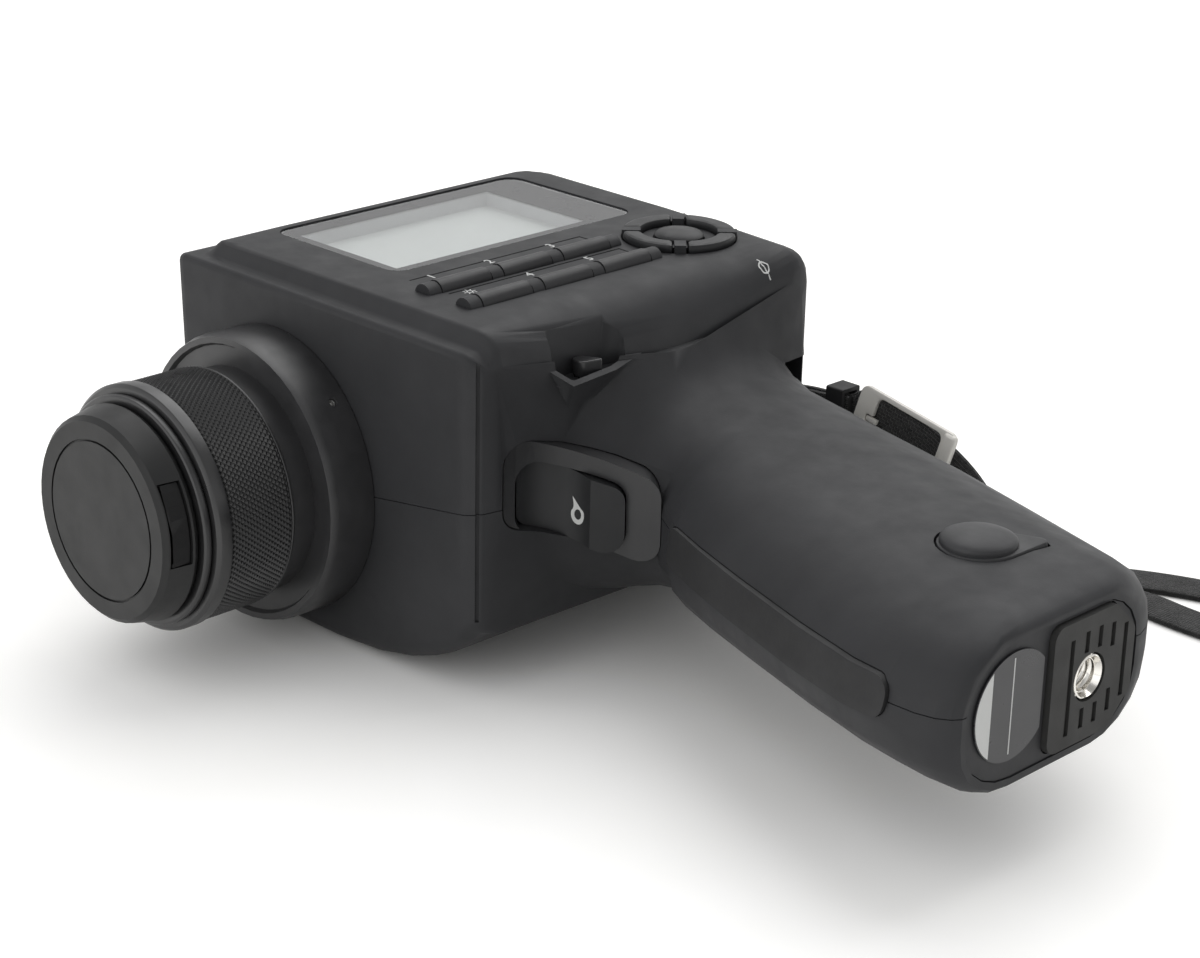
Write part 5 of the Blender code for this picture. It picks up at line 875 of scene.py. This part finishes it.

# %% [markdown]
# The wrist strap's real length, along its line, is printed. The keeper and the buckle sit on it.

print("strap", round(travelled[-1] * 1000), "mm")

# %% [markdown]
# The tripod socket is a plated steel insert with a quarter inch thread, twenty turns to the inch,
# so one turn is 1.27 mm. A thread can be spun from one tooth by the screw modifier, which turns a
# short line of points round an axis while it climbs. A short cone makes the bright mouth.

# %% Tripod socket thread
pitch, socket_y = 1.27 * MM, 42.0
skin("tripod_socket", plated_steel)
bpy.ops.mesh.primitive_plane_add(size=1, location=(0, 0, 0))
thread = settled("tripod_thread")
opened(thread)
bpy.ops.mesh.delete(type="EDGE_FACE")
tooth = bmesh.from_edit_mesh(thread.data)
tooth.verts.ensure_lookup_table()
for vert, (x, z) in zip(tooth.verts, ((3.19, 0), (2.62, 0.5), (2.62, 0.68), (3.19, 1.2))):
    vert.co = Vector((x, 0, z)) * MM
for a, b in ((0, 1), (1, 2), (2, 3)):
    tooth.edges.new((tooth.verts[a], tooth.verts[b]))
bmesh.update_edit_mesh(thread.data)
done()
apply(thread, "SCREW", axis="Z", steps=40, render_steps=40, iterations=8, screw_offset=pitch,
      use_merge_vertices=True, use_smooth_shade=True)
put(thread, spot(165.9, socket_y, 0), (0, math.pi / 2, 0))
bpy.ops.mesh.primitive_cone_add(vertices=64, radius1=3.2 * MM, radius2=3.95 * MM, depth=1.5 * MM,
                                end_fill_type="NOTHING", rotation=(0, math.pi / 2, 0),
                                location=spot(177.35, socket_y, 0))
mouth = settled("tripod_socket_mouth")
apply(mouth, "SOLIDIFY", thickness=0.3 * MM, offset=1)
shaded(mouth, 40)
for piece in (thread, mouth):
    wear(piece, plated_steel)
print("thread faces", len(thread.data.polygons))

# %% [markdown]
# White prints give the eye its scale: numbers beside the soft keys, a sun for the lamp key, the
# mark of the measuring plane, a drop on the measuring button, and the label's pale end. Each print
# is a film of ink, as thin as a hair. A flat film can't follow a curved face, so those are
# projected onto it, then given their thickness.

# %% Ink
ink = finish("white_ink", (0.72, 0.73, 0.72), 0.5, 0.3, 0.004, 0.3, 0.05)


def number(text, x, y, z):
    """A printed number, flat on a face that looks up."""
    bpy.ops.object.text_add(location=spot(x, y, z), rotation=(0, 0, math.pi / 2))
    letters = bpy.context.object.data
    letters.body, letters.size = text, 3.4 * MM
    letters.align_x = letters.align_y = "CENTER"
    letters.extrude, letters.offset = 0.015 * MM, 0.03 * MM
    alone(bpy.context.object)
    bpy.ops.object.convert(target="MESH")
    wear(settled(f"key_number_{text}"), ink)


def ring_opened(name, radius, width, place, corners=48, upright=0.0):
    """A flat ring about a point. Edit mode is left open, so that more can be added."""
    bpy.ops.mesh.primitive_circle_add(vertices=corners, radius=radius * MM, fill_type="NGON",
                                      rotation=(upright, 0, 0), location=place)
    ring = settled(name)
    opened(ring)
    bpy.ops.mesh.inset(thickness=width * MM)
    bpy.ops.mesh.delete(type="FACE")
    return ring


def printed_on(piece, node, way, lift=0.01, film=0.05):
    """Projects a flat piece along an axis onto a solid, and gives it the thickness of ink."""
    apply(piece, "SHRINKWRAP", target=nodes[node], wrap_method="PROJECT", use_negative_direction=True,
          use_positive_direction=True, offset=lift * MM,
          **{f"use_project_{axis}": axis == way for axis in "xyz"})
    apply(piece, "SOLIDIFY", thickness=film * MM, offset=1)


print("ink:", ink.name)

# %% [markdown]
# The numbers stand a hair above the shell's face. The lamp key's sign is a small ring with eight
# rays: each is a plane that is sized, moved out and turned.

# %% Numbers and the lamp sign
key_top = 42.6
for index, (x, y) in enumerate(((22.8, 22.6), (22.8, 38.8), (22.8, 56.6), (34.9, 38.9), (34.9, 56.2)), 1):
    number(str(index), x, y, key_top)
sun_place = spot(35.6, 21.6, key_top + 0.02)
sun = ring_opened("lamp_sign", 0.75, 0.28, sun_place, 24)
done()
for i in range(8):
    bpy.ops.mesh.primitive_plane_add(size=1, location=(1.22 * MM, 0, 0))
    bpy.context.object.scale = (0.55 * MM, 0.24 * MM, 1)
    ray = settled("lamp_sign_ray")
    put(ray, sun_place, (0, 0, i * math.pi / 4))
    welded(sun, ray)
apply(sun, "SOLIDIFY", thickness=0.04 * MM, offset=0)
wear(sun, ink)
print("prints by the keys: 6")

# %% [markdown]
# The mark of the measuring plane is a circle with a line across it, on the sloping shoulder
# behind the direction keys. It is drawn flat, then projected straight down.

# %% Measuring plane mark
above_mark = spot(58.3, 85.4, 60)
plane_mark = ring_opened("measuring_plane_mark", 1.25, 0.3, above_mark)
bpy.ops.mesh.primitive_grid_add(x_subdivisions=14, y_subdivisions=2, size=1, location=above_mark)
bpy.ops.transform.resize(value=(4.2 * MM, 0.3 * MM, 1), center_override=above_mark)
done()
printed_on(plane_mark, "left_shell", "z", 0.11)
wear(plane_mark, ink)
print("mark at", in_mm(plane_mark.data.vertices[0].co))

# %% [markdown]
# The drop on the measuring button is a ring drawn out to a point. A circle's upper points are
# pulled up, most at the top, and the inner hole stays as it is. Then all of it is narrowed and
# stretched, and projected onto the button along the lens axis.

# %% Drop on the measuring button
drop_centre = spot(67.6, 0, 3.5)
drop = ring_opened("measuring_button_drop", 1.9, 0.9, drop_centre, upright=math.pi / 2)
done()
narrowed, stretched = 0.78, 1.12
for vert in drop.data.vertices:
    away = vert.co - drop_centre
    if away.length > 1.5 * MM and away.z > 0:
        share = max(0, away.z / away.length - 0.35) / 0.65
        across_by = away.x * (1 - share * 0.75) - share**2 * 1.5 * MM
        away = Vector((across_by, 0, away.z * (1 + 0.75 * share**2)))
    vert.co = drop_centre + Vector((away.x * narrowed, 0, away.z * stretched))
printed_on(drop, "measuring_button", "y")
wear(drop, ink, "measuring_button")
print("drop height", round(drop.dimensions.z / MM, 1), "mm")

# %% [markdown]
# The label at the end of the grip is a dark foil with a round outer end and a straight inner one.
# It has a bare pale end and one thin rule. The foil is a flattened disc that is cut straight by a
# bisecting plane, and the pale end is a second disc, cut further.

# %% Label
label_dark = finish("label_foil", (0.028, 0.028, 0.032), 0.3, 0.5, 0.003, 0.3, 0.08)


def foil(name, cut_y, low, high, shrink=1.0):
    """A disc on the grip's end face that keeps what lies before cut_y."""
    bpy.ops.mesh.primitive_cylinder_add(vertices=96, radius=1, depth=(high - low) * MM,
                                        rotation=(0, math.pi / 2, 0),
                                        location=spot((low + high) / 2, 20.5, 1.0))
    bpy.context.object.scale = (10.5 * shrink * MM, 10.9 * shrink * MM, 1)
    piece = settled(name)
    opened(piece)
    bpy.ops.mesh.bisect(plane_co=spot(0, cut_y, 0), plane_no=(0, 1, 0), clear_outer=True, use_fill=True)
    done()
    return shaded(piece, 30)


label = wear(foil("label_foil", 28.8, 177.16, 177.46), label_dark)
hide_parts("label_plate")
wear(foil("label_pale_end", 14.1, 177.3, 177.5, 0.98), ink)
rule = slab("label_rule", (177.4, 19.85, -8.2), (177.5, 20.15, 10.4))
eased(rule, 0.01, 1)
wear(rule, ink)
print("label", in_mm(label.dimensions))

# %% [markdown]
# A small grub screw in the flange locks the lens mount. It is a steel plug with a hexagonal
# socket, sunk just below the flange's surface in a hole that is cut for it.

# %% Grub screw in the flange
mount = bpy.data.objects["lens_mount_skin"]
angle, screw_y = math.radians(43.6), -3.7
screw_way = Vector((math.cos(angle), 0, math.sin(angle)))


def radial(name, radius, low, high, vertices=32):
    """A cylinder along the screw's way, between two distances from the lens axis."""
    middle = spot(0, screw_y, 0) + screw_way * (low + high) / 2 * MM
    bpy.ops.mesh.primitive_cylinder_add(vertices=vertices, radius=radius * MM, depth=(high - low) * MM,
                                        rotation=(0, math.pi / 2 - angle, 0), location=middle)
    return settled(name)


alone(mount)
bpy.ops.mesh.customdata_custom_splitnormals_clear()
cut_by(mount, radial("grub_hole", 0.95, 29.4, 33))
flats_kept_flat(mount, 32)
grub = radial("lens_mount_grub_screw", 0.88, 28.6, 30.4)
cut_by(grub, radial("grub_socket", 0.5, 29.6, 32, 6))
eased(grub, 0.08, 2)
wear(grub, plain_steel)
print("grub screw faces", len(grub.data.polygons))

# %% [markdown]
# The rubber cover over the jack has a round dome and a flat tail that ends flush with the grip,
# where its hinge is. Its solid is carried over as a skin, and the dome is drawn up over it from a
# circle, ring by ring. The rubber is paler than the strip's because it is handled less.

# %% Jack cover
cover_rubber = finish("cover_rubber", (0.03, 0.0305, 0.033), 0.55, 0.6, 0.03, 0.5, 0.15)
skin("jack_cover", cover_rubber)
dome_x, dome_y = 151.9, 41.6
dome_rings = [(7.3, 17.7), (7.35, 18.5), (7.25, 18.95), (6.9, 19.3), (6.0, 19.75), (4.6, 20.15), (2.8, 20.42),
              (1.0, 20.5)]
bpy.ops.mesh.primitive_circle_add(vertices=72, radius=dome_rings[0][0] * MM,
                                  location=spot(dome_x, dome_y, dome_rings[0][1]))
dome = settled("jack_cover_dome")
opened(dome)
drawn_out(dome_rings, 2, dome_x, dome_y)
bpy.ops.mesh.edge_face_add()
whole()
bpy.ops.mesh.fill_holes(sides=0)
sides_outward()
done()
shaded(dome, 50)
wear(dome, cover_rubber, "jack_cover")

# %% [markdown]
# The object lies on a white table under a bright, even sky, so its shadow is soft and pale. The
# table is one large plane with faint stains. Where the camera or a mirroring face sees it, it
# glows a little, as a bright exposure would show it, and less so close to the object, where less
# of the room is open above it.

# %% Table
bpy.ops.mesh.primitive_plane_add(size=8, location=(0, 0, 0))
table = settled("table")
paint, paint_tree, paint_shader = new_material("table_white")
stain = ranged(paint_tree, noise(paint_tree, 9, 6, 0.62), 0, 1, 0.32, 0.62)
rays = made(paint_tree, "LightPath")
seen = combined(paint_tree, "MAXIMUM", rays["Is Camera Ray"], rays["Is Glossy Ray"])
openness = ranged(paint_tree, made(paint_tree, "AmbientOcclusion", {"Distance": 0.09})["AO"], 0, 0.5, 0, 1)
fed(paint_shader, {
    "Base Color": toned(paint_tree, stain, (0.83, 0.82, 0.79), (0.9, 0.895, 0.88)),
    "Roughness": ranged(paint_tree, noise(paint_tree, 30), 0.45, 0.6),
    "Emission Color": (1, 1, 1, 1), "Emission Strength": combined(paint_tree, "MULTIPLY", seen, openness)})
table.data.materials.append(paint)
table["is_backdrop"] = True
print("table size", [round(v, 1) for v in table.dimensions])

# %% [markdown]
# Two broad suns light it: a high one from behind, and a weaker one from the front that opens the
# shaded faces. The sky is white where the camera, a reflection or a clear piece sees it, dimmer as
# a light, and it fades towards the zenith, so that faces turned up to it stay calm.

# %% Light
def sun_lamp(name, strength, spread, azimuth, height):
    """A sun that stands at an azimuth from +X, anticlockwise, and a height, in degrees."""
    data = bpy.data.lights.new(name, "SUN")
    data.energy, data.angle = strength, math.radians(spread)
    lamp = placed(name, data)
    a, h = math.radians(azimuth), math.radians(height)
    away = Vector((math.cos(a) * math.cos(h), math.sin(a) * math.cos(h), math.sin(h)))
    lamp.rotation_euler = away.to_track_quat("Z", "Y").to_euler()


sun_lamp("high_window", 1.4, 58, 114, 55)
sun_lamp("room_fill", 0.85, 80, -100, 30)
sky = bpy.data.worlds.new("white_room")
bpy.context.scene.world = sky
sky.use_nodes = True
sky_tree = sky.node_tree
sky_tree.nodes.clear()
rays = made(sky_tree, "LightPath")
seen = combined(sky_tree, "MAXIMUM", rays["Is Camera Ray"], rays["Is Glossy Ray"])
seen = combined(sky_tree, "MAXIMUM", seen, rays["Is Transmission Ray"])
strength = ranged(sky_tree, seen, 0.6, 1, 0, 1)
height = made(sky_tree, "SeparateXYZ", {"Vector": made(sky_tree, "TexCoord")["Generated"]})["Z"]
fading = ranged(sky_tree, height, 1, 0.4, 0.3, 0.95)
unfaded_behind = combined(sky_tree, "MAXIMUM", rays["Is Camera Ray"], fading)
dimmed = combined(sky_tree, "MULTIPLY", strength, unfaded_behind)
backdrop = made(sky_tree, "Background", {"Strength": dimmed})["Background"]
made(sky_tree, "OutputWorld", {"Surface": backdrop})
bpy.context.scene.view_settings.view_transform = "Standard"
print("lamps: 2")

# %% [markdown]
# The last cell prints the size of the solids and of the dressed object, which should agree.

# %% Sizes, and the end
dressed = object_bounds()
for box_name, box in (("solids", cad_box), ("dressed", dressed)):
    print(box_name, [[round(c, 4) for c in v] for v in box])
